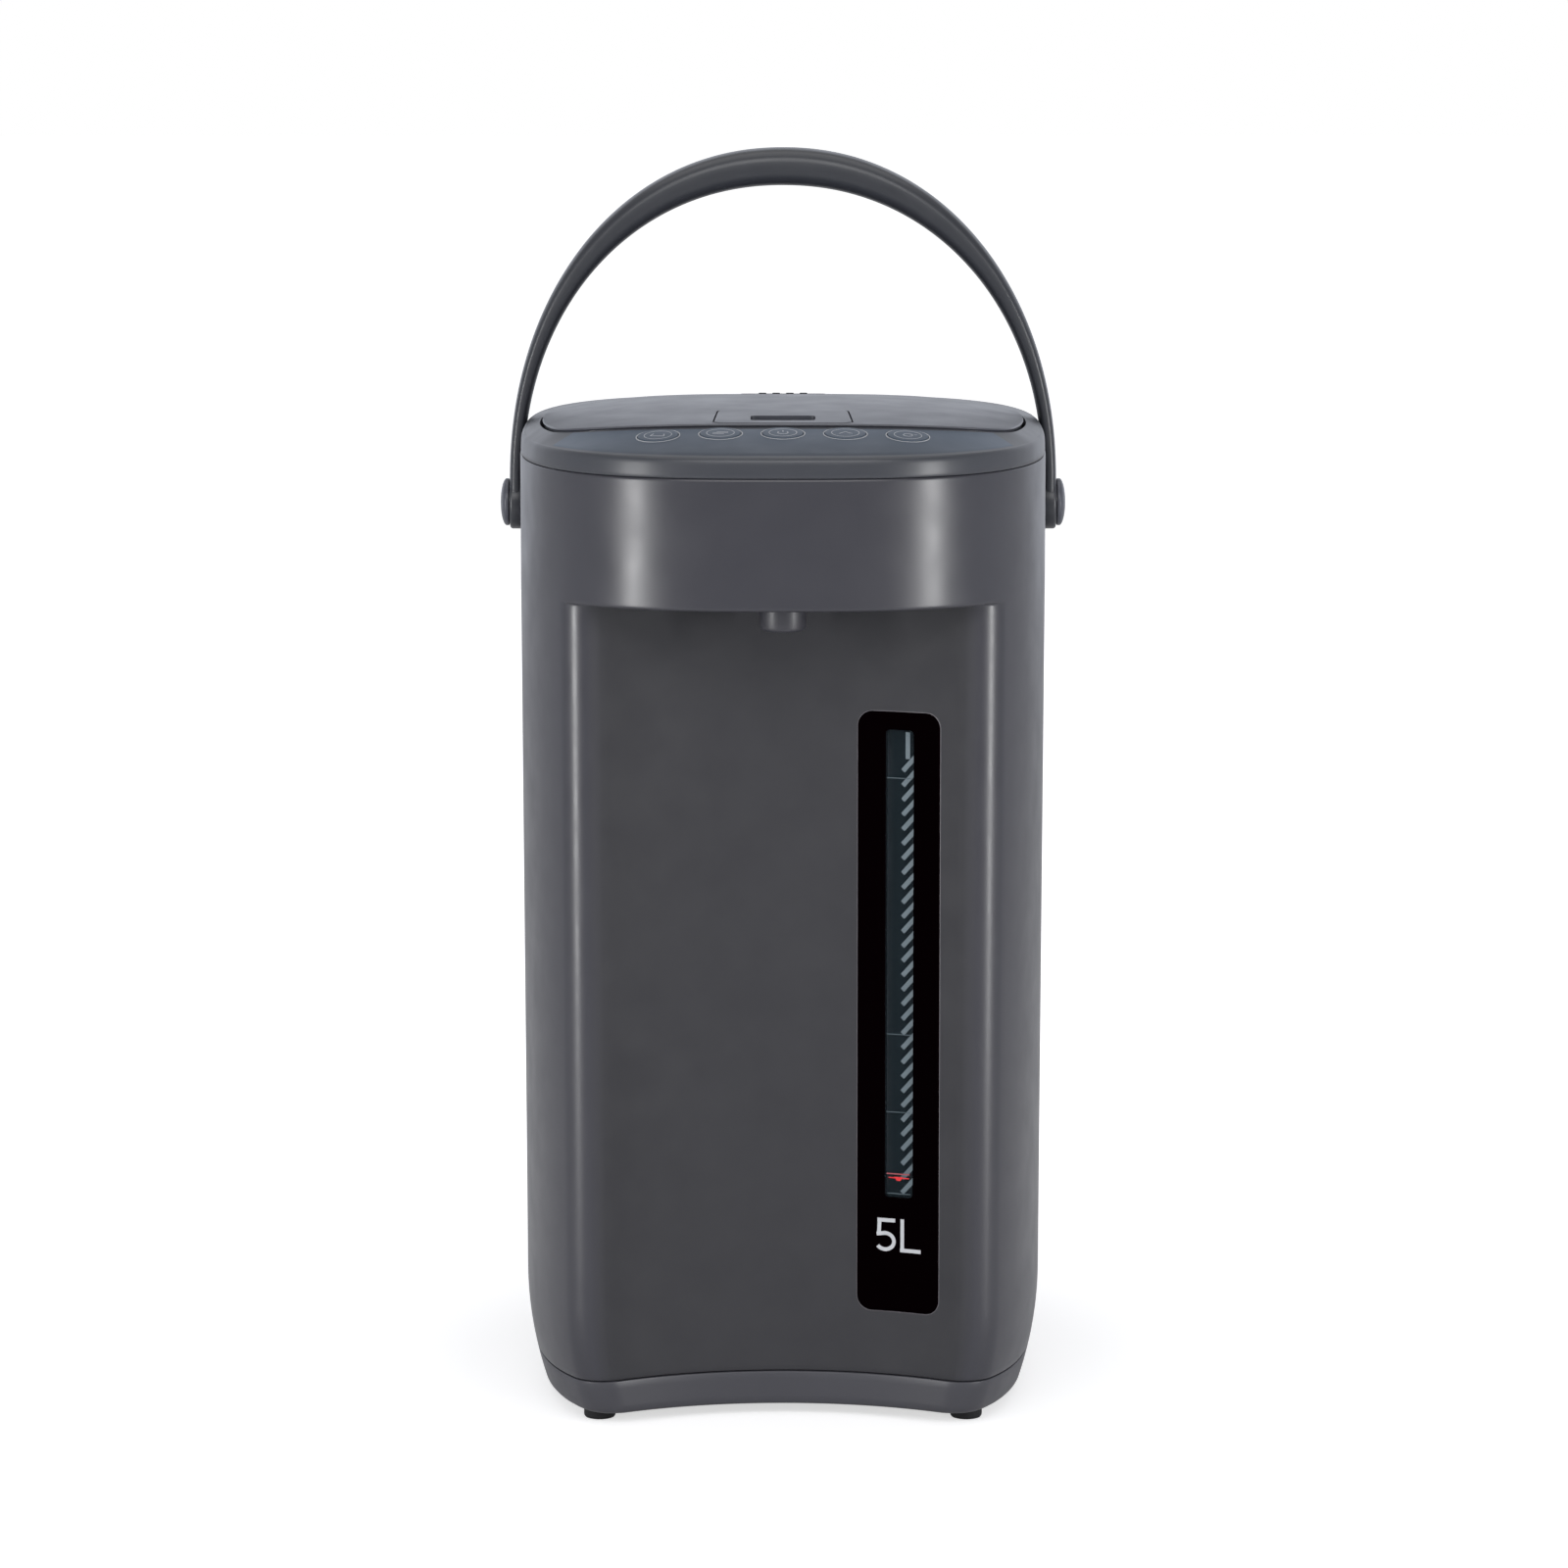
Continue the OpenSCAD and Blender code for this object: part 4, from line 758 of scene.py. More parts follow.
def base_shell():
    """The base tray with its air slots and its screws' recesses."""
    z0 = BASE_Z
    rings = [bay_ring(z0, 2.6), bay_ring(z0 + 0.12, 1.3), bay_ring(z0 + 0.55, 0.5), bay_ring(z0 + 1.4, 0.0)]
    rings += [bay_ring(z0 + 1.4 + (SEAM_Z - z0 - 2.2) * k / 5, 0.0) for k in range(1, 6)]
    rings += [bay_ring(SEAM_Z - 0.2, 0.22), bay_ring(SEAM_Z, 0.7), bay_ring(SEAM_Z, LIP_IN)]
    rings += [bay_ring(SEAM_Z + 5, LIP_IN), bay_ring(SEAM_Z + 5, LIP_IN + 2)]
    rings += [bay_ring(z0 + 2.5, LIP_IN + 2)]
    shell = add("base_shell", loft(rings), "pot_body", "base", ["base_tray"])
    for x in range(-24, 25, 8):
        cut(shell, prism(rounded(rect(3, 36, x, 72), 1.4), z0 - 1, z0 + 4))
    for a in np.radians(SCREW_ANGLES):
        x, y = SCREW_CIRCLE * math.cos(a), VESSEL_Y + SCREW_CIRCLE * math.sin(a)
        cut(shell, moved(cylinder(SCREW_RECESS_R, 0, 3, 48), (x, y, z0 - 1.5)))


casing_shell()
handle_pads()
base_shell()


# ---- Collar ----

def lip_rings(r):
    """The deck's inner edge, rounded down into the lid's opening."""
    p, q = deck_points(ALL, 1.0), deck_points(ALL, 0.0)
    reach = np.linalg.norm((q - p)[:, :2], axis=1)
    rings = []
    for back, down in quarter(np.minimum(r, 0.045 * reach)):
        ring = p + (q - p) * (back / reach)[:, None]
        ring[:, 2] -= down
        rings.append(ring)
    return rings


def on_key(k, shape):
    """A shape moved from the origin onto the panel, in the place of key k."""
    m = np.array(key_frame((k - (KEYS - 1) / 2) * KEY_PITCH))
    return moved(shape, m[:3, 3], m[:3, :3])


def opening_ring(z):
    """The round mouth, with as many points as the lid's outline."""
    t = np.arctan2(rim_points(ALL, 0)[:, 1] - LID_Y, rim_points(ALL, 0)[:, 0])
    return lift(np.array([0, VESSEL_Y]) + (MOUTH_R + 1) * np.stack([np.cos(t), np.sin(t)], -1), z)


def key_holes(r, z0, z1):
    """Cylinders on all the keys' axes, as one shape."""
    return joined(*(on_key(k, cylinder(r, z0, z1)) for k in range(KEYS)))


def hinge_outline(a0, a1, steps, foot):
    """A knuckle's outline of (y, z) points: an arc round the hinge's axis, then its foot."""
    arc_part = [(HINGE_Y + HINGE_R * math.cos(a), HINGE_Z + HINGE_R * math.sin(a))
                for a in np.linspace(a0, a1, steps)]
    return np.array(arc_part + foot)


def collar_shell():
    """The top ring: its side, the deck, the lid's well and the tongue in the casing."""
    side = [(0.9, 0.02), (0.45, 0.25), (0.25, 0.6), (0.2, 1.6), (0.26, 3.5), (0.36, 5.2), (0.5, 6.2),
            (0.72, 6.85), (1.02, 7.32), (1.38, 7.6), (1.72, 7.75)]
    rings = [rim_ring(CASING_Z + z, w) for w, z in side]
    rings += [deck_points(ALL, f) for f in (0, 0.02, 0.05, 0.1, 0.2, 0.35, 0.5, 0.65, 0.8, 0.9, 0.95)]
    rings += lip_rings(0.6)
    rings += [lid_ring(WELL_Z + 1.0, LID_GAP), lid_ring(WELL_Z + 0.3, LID_GAP - 0.3)]
    rings += [lid_ring(WELL_Z, LID_GAP - 1)]
    rings += [opening_ring(WELL_Z), opening_ring(WELL_Z - WELL_T), lid_ring(WELL_Z - WELL_T, LID_GAP + 2)]
    rings += [dome_ring(LID_GAP + 2, 1, DECK_DROP + 2.6), rim_ring(RIM_Z - 2.6, 4.4)]
    rings += [rim_ring(TONGUE_Z, 4.4), rim_ring(TONGUE_Z, LIP_IN), rim_ring(CASING_Z, LIP_IN)]
    shell = add("collar_shell", loft(rings, loop=True), "pot_body", "collar", ["collar"])
    seat = rounded(rect(2 * KNUCKLES[1] + 2, 13, 0, HINGE_Y - 2.5), 1.5)
    cut(shell, prism(seat, LID_SKIRT_Z, 371))
    cut(shell, key_holes(KEY_R + 1.8, -12, -1.2))
    cut(shell, key_holes(KEY_R + KEY_FIT, -2, 4))


def collar_fittings():
    """The hinge's two outer knuckles and the latch's strike."""
    foot = [(HINGE_Y, LID_SKIRT_Z), (HINGE_Y + 5.9, LID_SKIRT_Z), (HINGE_Y + 5.9, HINGE_Z)]
    outline = hinge_outline(0, 1.5 * math.pi, 28, foot)
    inner, outer = KNUCKLES[0] + 0.3, KNUCKLES[1]
    parts = [x_extrude(outline, *ends) for ends in ((-outer, -inner), (inner, outer))]
    add("hinge_knuckles", joined(*parts), "pot_body", "collar", ["collar"])
    strike = block((-HOOK_W / 2 - 1, -89.2, WELL_Z - 1), (HOOK_W / 2 + 1, -86, WELL_Z + 6))
    add("latch_strike", strike, "pot_body", "collar", ["collar"])


collar_shell()
collar_fittings()


def panel_shell():
    """The control panel's film, laid over the deck, with its two long edges sunk."""
    half = N_LID * PANEL_A / 360
    steps = 150
    rings = []
    across = np.linspace(PANEL_EDGE[0], PANEL_EDGE[1], 18)
    for k in range(steps + 1):
        i = half * (2 * k / steps - 1)
        top = [deck_points(i, f) + [0, 0, 0.15] for f in across]
        top[0] = top[0] - [0, 0, 0.2]
        top[-1] = top[-1] - [0, 0, 0.2]
        below = [deck_points(i, f) - [0, 0, 1.2] for f in across[::-1]]
        rings.append(np.array(top + below))
    film = add("control_film", loft(rings), "pot_body", "panel", ["control_panel"])
    cut(film, key_holes(KEY_R + KEY_FIT, -4, 4))


panel_shell()


def arc_strip(r0, r1, a0, a1, n=40, z0=KEY_TOP, z1=KEY_TOP + 0.04):
    """A printed line on a key's face, along part of a circle."""
    corners = ((r0, z0), (r1, z0), (r1, z1), (r0, z1))
    turns = np.radians(np.linspace(a0, a1, n))
    return loft([np.array([(r * math.cos(t), r * math.sin(t), z) for r, z in corners]) for t in turns])


def dash(x0, y0, x1, y1, w=0.35, z0=KEY_TOP, z1=KEY_TOP + 0.04):
    """A short printed stroke."""
    p, q = np.array([x0, y0]), np.array([x1, y1])
    side = np.array([-(q - p)[1], (q - p)[0]]) / np.linalg.norm(q - p) * w / 2
    return loft([lift(np.array([p - side, q - side, q + side, p + side]), z) for z in (z0, z1)])


ICONS = [
    [dash(-2.6, -1.2, 2.6, -1.2), dash(-2.6, -1.2, -2.0, 1.4), dash(2.6, -1.2, 2.0, 1.4)],
    [dash(-2.8, 0, 2.8, 0), dash(-2.8, -1.4, 1.4, -1.4), dash(-1.4, 1.4, 2.8, 1.4)],
    [arc_strip(1.7, 2.05, -220, 40), dash(0, 1.0, 0, 2.8)],
    [dash(-2.4, -1.0, 0, 1.4), dash(0, 1.4, 2.4, -1.0)],
    [arc_strip(1.5, 1.85, 90, 270), arc_strip(1.5, 1.85, -90, 90), dash(2.4, 0, 3.4, 0)],
]


def keys():
    """The keys, each with its sign, and the ring round each of them."""
    cap = [(0, -KEY_STEM), (2.5, -KEY_STEM), (2.5, -2.5), (8.6, -2.5), (8.6, -1.5), (KEY_R, -1.5)]
    cap += [(KEY_R, KEY_TOP - 0.3)]
    cap += [(KEY_R - d, KEY_TOP - down) for d, down in reversed(quarter(0.3))]
    cap = loft(revolve(cap + [(3.5, KEY_TOP), (0, KEY_TOP)], 96), caps=False)
    ring = arc_strip(7.85, 8.2, 0, 359.9, 96, -0.3, 0.3)
    for k in range(KEYS):
        body, slot = f"key_{k + 1}_button", "key_grey"
        sign = joined(arc_strip(4.95, 5.2, 0, 359.9, 96), *ICONS[k])
        add(f"key_cap_{k + 1}", on_key(k, cap), body, "key", [f"key_{k + 1}"])
        add(f"key_print_{k + 1}", on_key(k, sign), body, "print")
        add(f"key_ring_{k + 1}", on_key(k, ring), "pot_body", "print")


keys()


# ---- Lid ----

def on_vent(shape):
    """A shape moved from the origin onto the lid's top at the steam vent, and tilted with it."""
    tilt = -math.atan(2 * (VENT_Y - CROWN_Y) / CROWN_R)
    turn = np.array(Matrix.Rotation(tilt, 3, "X"))
    return moved(shape, (0, VENT_Y, float(dome(0, VENT_Y))), turn)


def lid_shell():
    """The domed cover with its undercut skirt, and openings for the latch and the vent."""
    shares = [0.02, 0.06, 0.12, 0.2, 0.3, 0.4, 0.5, 0.6, 0.7, 0.8, 0.88, 0.94, 0.97, 0.985]
    rings = [dome_ring(-0.5, f, 0) for f in shares]
    rings += [dome_ring(-d, 1, down) for d, down in quarter(0.5) + [(0.7, 1.2)]]
    rings += [lid_ring(LID_SKIRT_Z + 0.4, -0.7), lid_ring(LID_SKIRT_Z, -1.1)]
    rings += [lid_ring(LID_SKIRT_Z, -LID_T)]
    rings += [dome_ring(-LID_T, f, LID_T) for f in (1, 0.97, 0.85, 0.6, 0.3)]
    lid = add("lid_shell", loft(rings), "lid", "lid", ["lid_cover"])
    cut(lid, prism(latch_outline(LATCH_GAP[0]), 366, 386))
    cut(lid, on_vent(prism(rounded(rect(34, 20), 3.2), -4.5, 4.5)))


def steam_vent():
    """The vent's plate with four slots, and a small hood in front of each; dark pieces paint the shade in
    the slots and the hoods' mouths.
    """
    plate = slab(rounded(rect(33.4, 19.4), 3.0), -2.8, 0.1, 0.5)
    vent = add("vent_plate", on_vent(plate), "lid", "lid", ["steam_vent"])
    places = [k * VENT_PITCH for k in (-1.5, -0.5, 0.5, 1.5)]
    hoods = [slab(rounded(rect(3.0, 4.4, x, -7.0), 0.7), -0.4, 0.45, 0.2) for x in places]
    add("vent_hoods", on_vent(joined(*hoods)), "lid", "lid", ["steam_vent"])
    # Dark patches on the hoods' fronts: painted shade in their mouths.
    mouths = [block((x - 1.1, -9.35, 0.05), (x + 1.1, -9.0, 0.38), 0.1) for x in places]
    add("vent_mouth_shade", on_vent(joined(*mouths)), "lid", "dark")
    for n, x in enumerate(places):
        cut(vent, on_vent(prism(rounded(rect(3.4, 10, x, 2.4), 1.5), -1.9, 4)))
        # A dark floor in each slot: painted shade of the opening under it.
        bottom = prism(rounded(rect(3.3, 9.9, x, 2.4), 1.5), -2.2, -1.7)
        add(f"vent_slot_shade_{n + 1}", on_vent(bottom), "lid", "dark")


def lid_fittings():
    """The hinge's middle knuckle and the two lugs that carry the latch's pin."""
    tail = [(HINGE_Y - 4, HINGE_Z + 1.5), (HINGE_Y - 8, HINGE_Z + 1.5), (HINGE_Y - 8, HINGE_Z - 3.5)]
    outline = hinge_outline(-math.pi * 0.6, math.pi / 2, 24, tail)
    knuckle = x_extrude(outline, -KNUCKLES[0], KNUCKLES[0])
    add("lid_knuckle", knuckle, "lid", "lid", ["lid_cover"])
    lugs = [joined(block((x - 1.5, -67.4, 369.9), (x + 1.5, -55.6, 374.2), 0.2),
                   block((x - 1.5, -57.9, 369.9), (x + 1.5, -53, 375.6), 0.2)) for x in (-22, 22)]
    add("latch_lugs", joined(*lugs), "lid", "lid", ["lid_cover"])


def lid_lining():
    """The lid's underside with its stepped edge, the hook's slot and three steam holes."""
    low, high = WELL_Z + 0.3, LINING_TOP
    rings = [lid_ring(low, -1.2), lid_ring(low + 0.25, -0.65), lid_ring(low + 0.8, -0.4)]
    rings += [lid_ring(high, -0.4), lid_ring(high, -2.5), lid_ring(high + 4, -2.5)]
    rings += [lid_ring(high + 4, -4.5), lid_ring(high, -4.5)]
    base = add("lid_lining", loft(rings), "lid", "black", ["lid_base"])
    cut(base, prism(np.array(rect(24, 15, 0, -90.5)), low - 1, low + 11))
    for x in (-8, 0, 8):
        cut(base, moved(cylinder(2, -1, 7, 32), (x, VENT_Y, low)))


def latch_outline(gap):
    """The latch plate's rounded trapezium, with its gap all round."""
    w0, w1 = LATCH_W[0] / 2 + gap, LATCH_W[1] / 2 + gap
    y0, y1 = LATCH_Y[0] - gap, LATCH_Y[1] + LATCH_GAP[1] / LATCH_GAP[0] * gap
    return rounded([(-w0, y0), (w0, y0), (w1, y1), (-w1, y1)], 4.0 + gap, 10, 14)


def latch():
    """The latch's plate with its finger cup, its hook and the bar that turns on the pin; the cup's dark
    colour is painted shade.
    """
    outline = latch_outline(0)
    mid = outline.mean(0)
    r = 0.5
    flat = shrink(outline, r)
    shares = (0.03, 0.15, 0.3, 0.45, 0.6, 0.75, 0.87, 0.95)
    rings = [on_dome(mid + f * (flat - mid), LATCH_PROUD) for f in shares]
    rings += [on_dome(shrink(outline, d), LATCH_PROUD - down) for d, down in quarter(r)]
    rings += [on_dome(p, -2.6) for p in (outline, mid + 0.5 * (outline - mid))]
    plate = add("latch_plate", loft(rings), "latch", "lid", ["lid_latch"])
    grip = rounded(rect(FINGER[0], FINGER[1], 0, FINGER_Y), 2.0, 8, 8)
    cut(plate, prism(grip, 368, 384))
    # The finger cup is dark: painted shade in the slot.
    wall = rounded(rect(FINGER[0] + 3, FINGER[1] + 3, 0, FINGER_Y), 3.0, 8, 8)
    cup = [lift(wall, 366.6), lift(wall, 374.9), lift(grip, 374.9), lift(grip, 369)]
    cup.append(lift(shrink(grip, 0.5), 368.1))
    add("latch_cup", loft(cup), "latch", "dark", ["lid_latch"])
    half = HOOK_W / 2
    leg = block((-half, -94, 354), (half, -91.6, 368), 0.3)
    barb = block((-half, -94, 354), (half, -90, 356.4), 0.3)
    bar = loft(revolve([(2.2, 0), (2.4, 0.3), (2.4, 39.7), (2.2, 40)], 32))
    hook = joined(leg, barb, moved(bar, (-20, *LATCH_PIN), Z_TO_X))
    add("latch_hook", hook, "latch", "lid", ["lid_latch"])


lid_shell()
steam_vent()
lid_fittings()
lid_lining()
latch()


# ---- Handle ----

def arch(w, h, a):
    """A point of the handle's arch at angle a."""
    z0 = PIVOT_Z + ARCH_RISE
    return np.array([w * spow(math.cos(a), 2 / ARCH_N), z0 + h * spow(math.sin(a), 2 / ARCH_N)])


def arch_section(p, q, w, n=48):
    """A cross section between inner point p and outer point q, with rounded edges."""
    a = 2 * math.pi * np.arange(n) / n
    u, v = spow(np.cos(a), 0.62) / 2, spow(np.sin(a), 0.62) / 2
    c = p + (q - p) * (0.5 + u)[:, None]
    return np.column_stack([c[:, 0], PIVOT_Y + v * w, c[:, 1]])


def bail():
    """The handle's arch, which grows wider and thicker from its legs to the grip."""
    out = HANDLE_IN + LEG_T
    h = ARCH_H - ARCH_RISE
    rings = [arch_section(np.array([HANDLE_IN, PIVOT_Z]), np.array([out, PIVOT_Z]), LEG_W)]
    n = 180
    for k in range(n + 1):
        a = math.pi * k / n
        w = LEG_W + (GRIP_W - LEG_W) * math.sin(a) ** 2
        rings.append(arch_section(arch(HANDLE_IN, h, a), arch(out, h + GRIP_T, a), w))
    rings.append(arch_section(np.array([-HANDLE_IN, PIVOT_Z]), np.array([-out, PIVOT_Z]), LEG_W))
    add("bail_arch", loft(rings), "handle", "handle", ["handle"], 40.0)


def pivots():
    """The handle's eyes at the ends of its legs, and the caps outside them."""
    eye = [(0, 0), (EYE_R - 0.8, 0), (EYE_R - 0.2, 0.25), (EYE_R, 0.8), (EYE_R, LEG_T - 1.2)]
    eye += [(EYE_R - d, LEG_T - down) for d, down in reversed(quarter(1.2))] + [(0, LEG_T)]
    cap = [(0, 0), (CAP_R - 0.2, 0), (CAP_R, 0.25), (CAP_R, 1.0)]
    cap += [(CAP_R * math.cos(a), 1.0 + 2.4 * math.sin(a)) for a in np.linspace(0.12, 1.5, 12)]
    cap += [(0, 3.4)]
    for side, name in SIDES:
        shape = on_pivot(eye, HANDLE_IN, side)
        add(f"bail_eye_{name}", shape, "handle", "handle", ["handle"])
        shape = on_pivot(cap, HANDLE_IN + LEG_T + PIVOT_GAP, side)
        add(f"pivot_cap_{name}", shape, "pot_body", "cap", ["pivot_caps"])


bail()
pivots()


# ---- Spout, window and feet ----

def spout():
    """The nozzle: a straight tube with a rounded mouth and a flange inside the head."""
    profile = [(TUBE_BORE, 3.0), (4.6, 0.5), (5.0, 0.1), (5.4, 0), (7.2, 0), (7.9, 0.25), (8.4, 0.8)]
    profile += [(NOZZLE_R, 1.5), (NOZZLE_R, 6), (NOZZLE_R, 12.6), (12, 12.6), (12, 14.6), (TUBE_BORE, 14.6)]
    nozzle = moved(loft(revolve(profile), loop=True), (0, SPOUT_Y, HEAD_Z - NOZZLE_DROP))
    add("nozzle_shell", nozzle, "pot_body", "nozzle", ["nozzle"])


def window():
    """The gloss plate with its slot, a pale ring round it as a painted highlight of its edge, and the clear
    pane in the slot.
    """
    outer = rect(WINDOW_W, WINDOW_Z[1] - WINDOW_Z[0], 0, sum(WINDOW_Z) / 2)
    inner = rect(SLOT_W, SLOT_Z[1] - SLOT_Z[0], 0, sum(SLOT_Z) / 2)
    outer, inner = rounded(outer, WINDOW_CORNER, 12, 24), rounded(inner, SLOT_CORNER, 12, 24)
    rings = [bay_loop(outer, POCKET_BACK)]
    rings += [bay_loop(shrink(outer, d), PLATE_FRONT + down) for d, down in reversed(quarter(0.55))]
    a, b = shrink(outer, 0.55), shrink(inner, -0.25)
    rings += [bay_loop(a + (b - a) * f, PLATE_FRONT) for f in (0.05, 0.25, 0.5, 0.75, 0.95, 1.0)]
    rings += [bay_loop(inner, PLATE_FRONT + 0.25), bay_loop(inner, POCKET_BACK)]
    plate = loft(rings, loop=True)
    add("window_gloss_plate", plate, "pot_body", "window", ["window_plate"])
    # The pale ring round the plate is a painted highlight of its edge.
    rings = [bay_loop(shrink(outer, -d), BAY_R + down)
             for d, down in ((0.4, 0.3), (0.4, -0.04), (0.32, -0.1), (0.2, -0.1), (0.2, 0.3))]
    add("window_rim_highlight", loft(rings, loop=True), "pot_body", "pale_highlight")
    pane = shrink(inner, 0.05)
    centre = pane.mean(0)
    rings = [bay_loop(centre + (pane - centre) * f, LENS_FRONT) for f in (0.02, 0.5, 0.97, 1.0)]
    rings += [bay_loop(centre + (pane - centre) * f, POCKET_BACK) for f in (1.0, 0.5, 0.02)]
    add("window_pane", loft(rings), "pot_body", "lens", ["window_lens"])


def strokes(name, lines, w, mat, depth=0.03, r=PLATE_FRONT):
    """Printed strokes of width w on the window, each a row of (across, height) points."""
    shapes = []
    for line in lines:
        p = np.array(line, float)
        along = np.gradient(p, axis=0)
        along /= np.linalg.norm(along, axis=1)[:, None]
        side = np.stack([-along[:, 1], along[:, 0]], -1) * w / 2
        rings = []
        for point, off in zip(p, side):
            edges = np.array([point + off, point - off])
            rings.append(np.vstack([bay_loop(edges, r), bay_loop(edges[::-1], r - depth)]))
        shapes.append(loft(rings))
    add(name, joined(*shapes), "pot_body", mat)


def capacity_print():
    """The capacity as plain numerals: a 5 and the unit's L."""
    w, foot, top = 1.45, 64.8, 77.4
    low, high = foot + w / 2, top - w / 2
    turn = np.radians(np.linspace(105, -145, 32))
    bowl = [(-5.3 + 3.5 * math.cos(a), low + 3.1 + 3.1 * math.sin(a)) for a in turn]
    five = [[(-1.3, high), (-8.3, high)], [(-7.45, high), (-7.75, low + 5.6)], [(-8.6, low + 5.75)] + bowl]
    ell = [[(1.5, top), (1.5, low)], [(0.63, low), (9.0, low)]]
    strokes("capacity_print", five + ell, w, "print")


def level_marks():
    """The marks printed on the pane, the bars behind it and the strip behind the tube, with two painted
    highlights: a line at the pane's foot and an upright bar on the tube.
    """
    lens = LENS_FRONT
    strokes("low_line", [[(-4.8, 94.5), (4.3, 94.5)]], 0.45, "dull_red", 0.03, lens)
    strokes("low_mark", [[(-4.0, 93.0), (4.1, 93.0)]], 0.4, "red", 0.04, lens)
    wedge = np.array([(-1.9, 93.4), (1.7, 93.4), (0.6, 91.9), (-0.8, 91.9)])
    arrow = loft([bay_loop(wedge, lens), bay_loop(wedge, lens - 0.05)])
    add("low_arrow", arrow, "pot_body", "red")
    # The last line, at 87, is a painted highlight on the pane's lower edge; the others are printed ticks.
    ticks_with_highlight = [[(-5.0, z), (4.6, z)] for z in (244.0, 147.5, 118.0)] + [[(-4.4, 87.0), (4.6, 87.0)]]
    strokes("level_ticks_and_lens_highlight", ticks_with_highlight, 0.3, "faint", 0.02, lens)
    # The upright bar at the top is a painted highlight of the tube; the slanted bars are print.
    bars_and_highlight = [[(0.5 + 5.6 * f, z + 6.2 * f) for f in (0, 0.5, 1)] for z in np.arange(87, 252, 5.5)]
    bars_and_highlight.append([(2.4, 251), (2.4, 261)])
    strokes("level_bars_and_tube_highlight", bars_and_highlight, 1.8, "bar", 0.1, BARS_AT)
    x, y = TUBE_AT[0], TUBE_AT[1] + TUBE_R
    strip = block((x - 7, y, SLOT_Z[0] - 4), (x + 7, y + 1, SLOT_Z[1] + 4), 0.2)
    add("level_strip", strip, "pot_body", "strip", ["level_scale"])


def feet():
    """The rubber feet, with their stems in the base and the barbs that hold them."""
    seat = BASE_Z + 0.05
    foot = [(0, 0), (4.6, 0), (5.4, 0.25), (5.85, 0.8), (6.0, 1.5), (6.0, seat), (3, seat), (3, 6.9)]
    foot = loft(revolve(foot + [(3.8, 6.9), (3.8, 8.4), (0, 8.4)], 48), caps=False)
    for n, (x, y) in enumerate(FEET):
        shape = moved(foot, (x, y, 0))
        add(f"foot_{n + 1}", shape, "pot_body", "rubber", ["rubber_feet"])


spout()
window()
capacity_print()
level_marks()
feet()


# ---- Nodes shown as the CAD model has them ----

KEPT = {
    "base_screws": "steel", "vessel_posts": "black", "control_board": "board", "key_switches": "dark",
    "level_tube": "tube", "pump_elbow": "silicone", "riser_sleeve": "silicone", "tip_valve": "white",
    "tip_valve_ball": "steel", "spout_pipe": "silicone", "vessel": "steel", "vessel_seal": "silicone",
    "mouth_ring": "black", "insulation_sleeve": "felt", "heater_plate": "alloy", "thermostat": "white",
    "outlet_hose": "silicone", "pump_housing": "white", "pump_impeller": "white", "motor_can": "steel",
    "motor_rotor": "copper", "power_board": "board", "transformer": "copper", "power_inlet": "dark",
    "inlet_pins": "copper", "inner_lid": "lid_steel", "lid_gasket": "silicone", "latch_pin": "pin",
    "latch_spring": "steel", "hinge_pin": "pin", "pivot_pins": "pin",
}
for node, mat in KEPT.items():
    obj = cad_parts[node]
    obj.data.materials.clear()
    obj.data.materials.append(MAT[mat])


# ---- Stage ----

COOL = (0.9, 0.96, 1.1)
WHITE = (1.0, 1.0, 1.0)
# How much of the white ground shows in reflections
REFLECTED = 0.28
# Where the strip lights stand that draw the two bands on the head
STRIP_AT = (0.753, -0.62, 0.28)
CAMERA_AT = (0.0004, -2.451, 0.574)
CAMERA_DOWN = 8.05
CAMERA_LENS = 146.9


def seen_rays(tree):
    """1 for rays from the camera and through glass, REFLECTED for reflections, 0 for diffuse rays."""
    path = new_node(tree, "ShaderNodeLightPath")
    either = maths(tree, "MAXIMUM", path.outputs["Is Camera Ray"], path.outputs["Is Transmission Ray"])
    return maths(tree, "MULTIPLY_ADD", path.outputs["Is Glossy Ray"], REFLECTED, either)


def floor_material():
    """Pale floor that is lifted to white where it is seen, and less near the object's shadow."""
    mat, tree, shader = nodes_of("floor_white")
    set_inputs(shader, Base_Color=(0.6, 0.6, 0.61, 1.0), Roughness=0.9, Specular_IOR_Level=0.1)
    lifted = spread(tree, length_of(tree, object_coords(tree)), 0.62, 1.0, 0.12, 0.5)
    strength = maths(tree, "MULTIPLY", seen_rays(tree), lifted)
    glow = new_node(tree, "ShaderNodeEmission", Color=(1.0, 1.0, 1.0, 1.0))
    tree.links.new(strength, glow.inputs["Strength"])
    both = new_node(tree, "ShaderNodeAddShader")
    tree.links.new(shader.outputs["BSDF"], both.inputs[0])
    tree.links.new(glow.outputs["Emission"], both.inputs[1])
    tree.links.new(both.outputs["Shader"], tree.nodes["Material Output"].inputs["Surface"])
    return mat


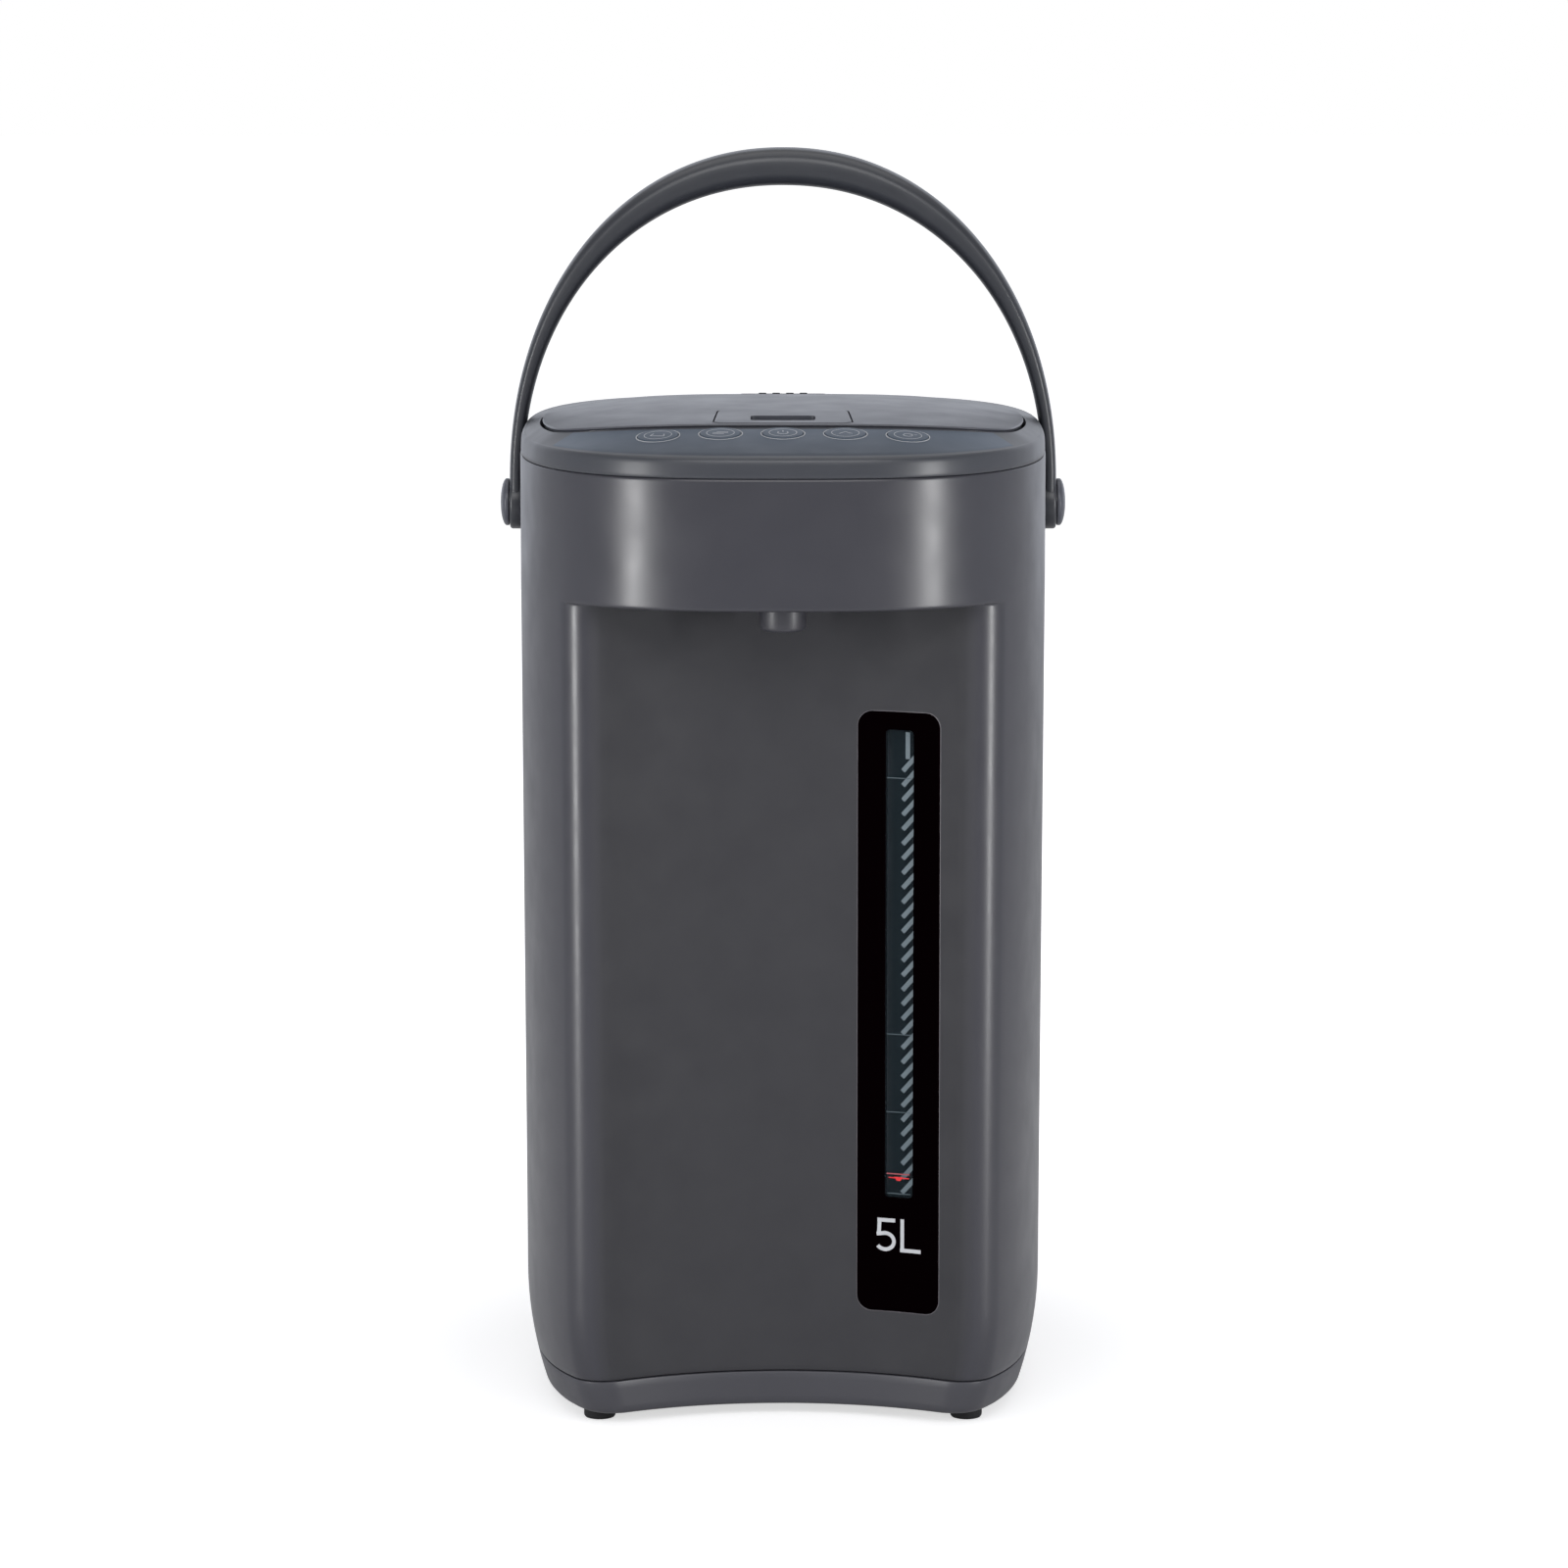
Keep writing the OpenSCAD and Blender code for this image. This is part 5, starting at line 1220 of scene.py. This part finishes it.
def area(name, at, size, radiance, aim, colour=WHITE):
    """A soft rectangular light of even brightness that the camera doesn't see."""
    light = bpy.data.lights.new(name, "AREA")
    light.shape = "RECTANGLE"
    light.size, light.size_y = size
    light.energy = radiance * math.pi * size[0] * size[1]
    light.color = colour
    obj = bpy.data.objects.new(name, light)
    obj.location = at
    obj.rotation_euler = (Vector(aim) - Vector(at)).to_track_quat("-Z", "Y").to_euler()
    obj.visible_camera = False
    bpy.context.scene.collection.objects.link(obj)


def stage():
    """The floor, the world, the lamps and the camera."""
    scene = bpy.context.scene
    mesh = bpy.data.meshes.new("floor")
    mesh.from_pydata([(-12, -12, 0), (12, -12, 0), (12, 12, 0), (-12, 12, 0)], [], [(0, 1, 2, 3)])
    floor = bpy.data.objects.new("floor", mesh)
    scene.collection.objects.link(floor)
    mesh.materials.append(floor_material())

    world = bpy.data.worlds.new("studio")
    scene.world = world
    world.use_nodes = True
    tree = world.node_tree
    back = tree.nodes["Background"]
    set_inputs(back, Color=(0.96, 0.98, 1.04, 1.0), Strength=0.12)
    bright = new_node(tree, "ShaderNodeBackground", Color=(1.0, 1.0, 1.0, 1.0), Strength=1.0)
    mix = new_node(tree, "ShaderNodeMixShader")
    tree.links.new(seen_rays(tree), mix.inputs["Fac"])
    tree.links.new(back.outputs["Background"], mix.inputs[1])
    tree.links.new(bright.outputs["Background"], mix.inputs[2])
    tree.links.new(mix.outputs["Shader"], tree.nodes["World Output"].inputs["Surface"])

    for s in (-1, 1):
        x, y, z = STRIP_AT
        area(f"strip_{s}", (s * x, y, z), (0.095, 0.52), 29, (0, 0, z))
        area(f"side_{s}", (s * 1.8, 0.3, 0.6), (2.4, 1.3), 0.24, (0, 0, 0.3), COOL)
    area("back", (0, 2.6, 0.9), (4.6, 1.9), 0.62, (0, 0, 0.5), COOL)
    area("front", (0, -2.4, 1.9), (2.6, 1.2), 3.6, (0, 0, 0.3))
    area("overhead", (0, 0.2, 1.9), (2.0, 1.6), 1.0, (0, 0, 0.3))

    camera = bpy.data.cameras.new("camera")
    camera.lens = CAMERA_LENS
    camera.sensor_width = 36
    view = bpy.data.objects.new("camera", camera)
    view.location = CAMERA_AT
    view.rotation_euler = (math.radians(90 - CAMERA_DOWN), 0, 0)
    scene.collection.objects.link(view)
    scene.camera = view
    scene.view_settings.view_transform = "Standard"


stage()
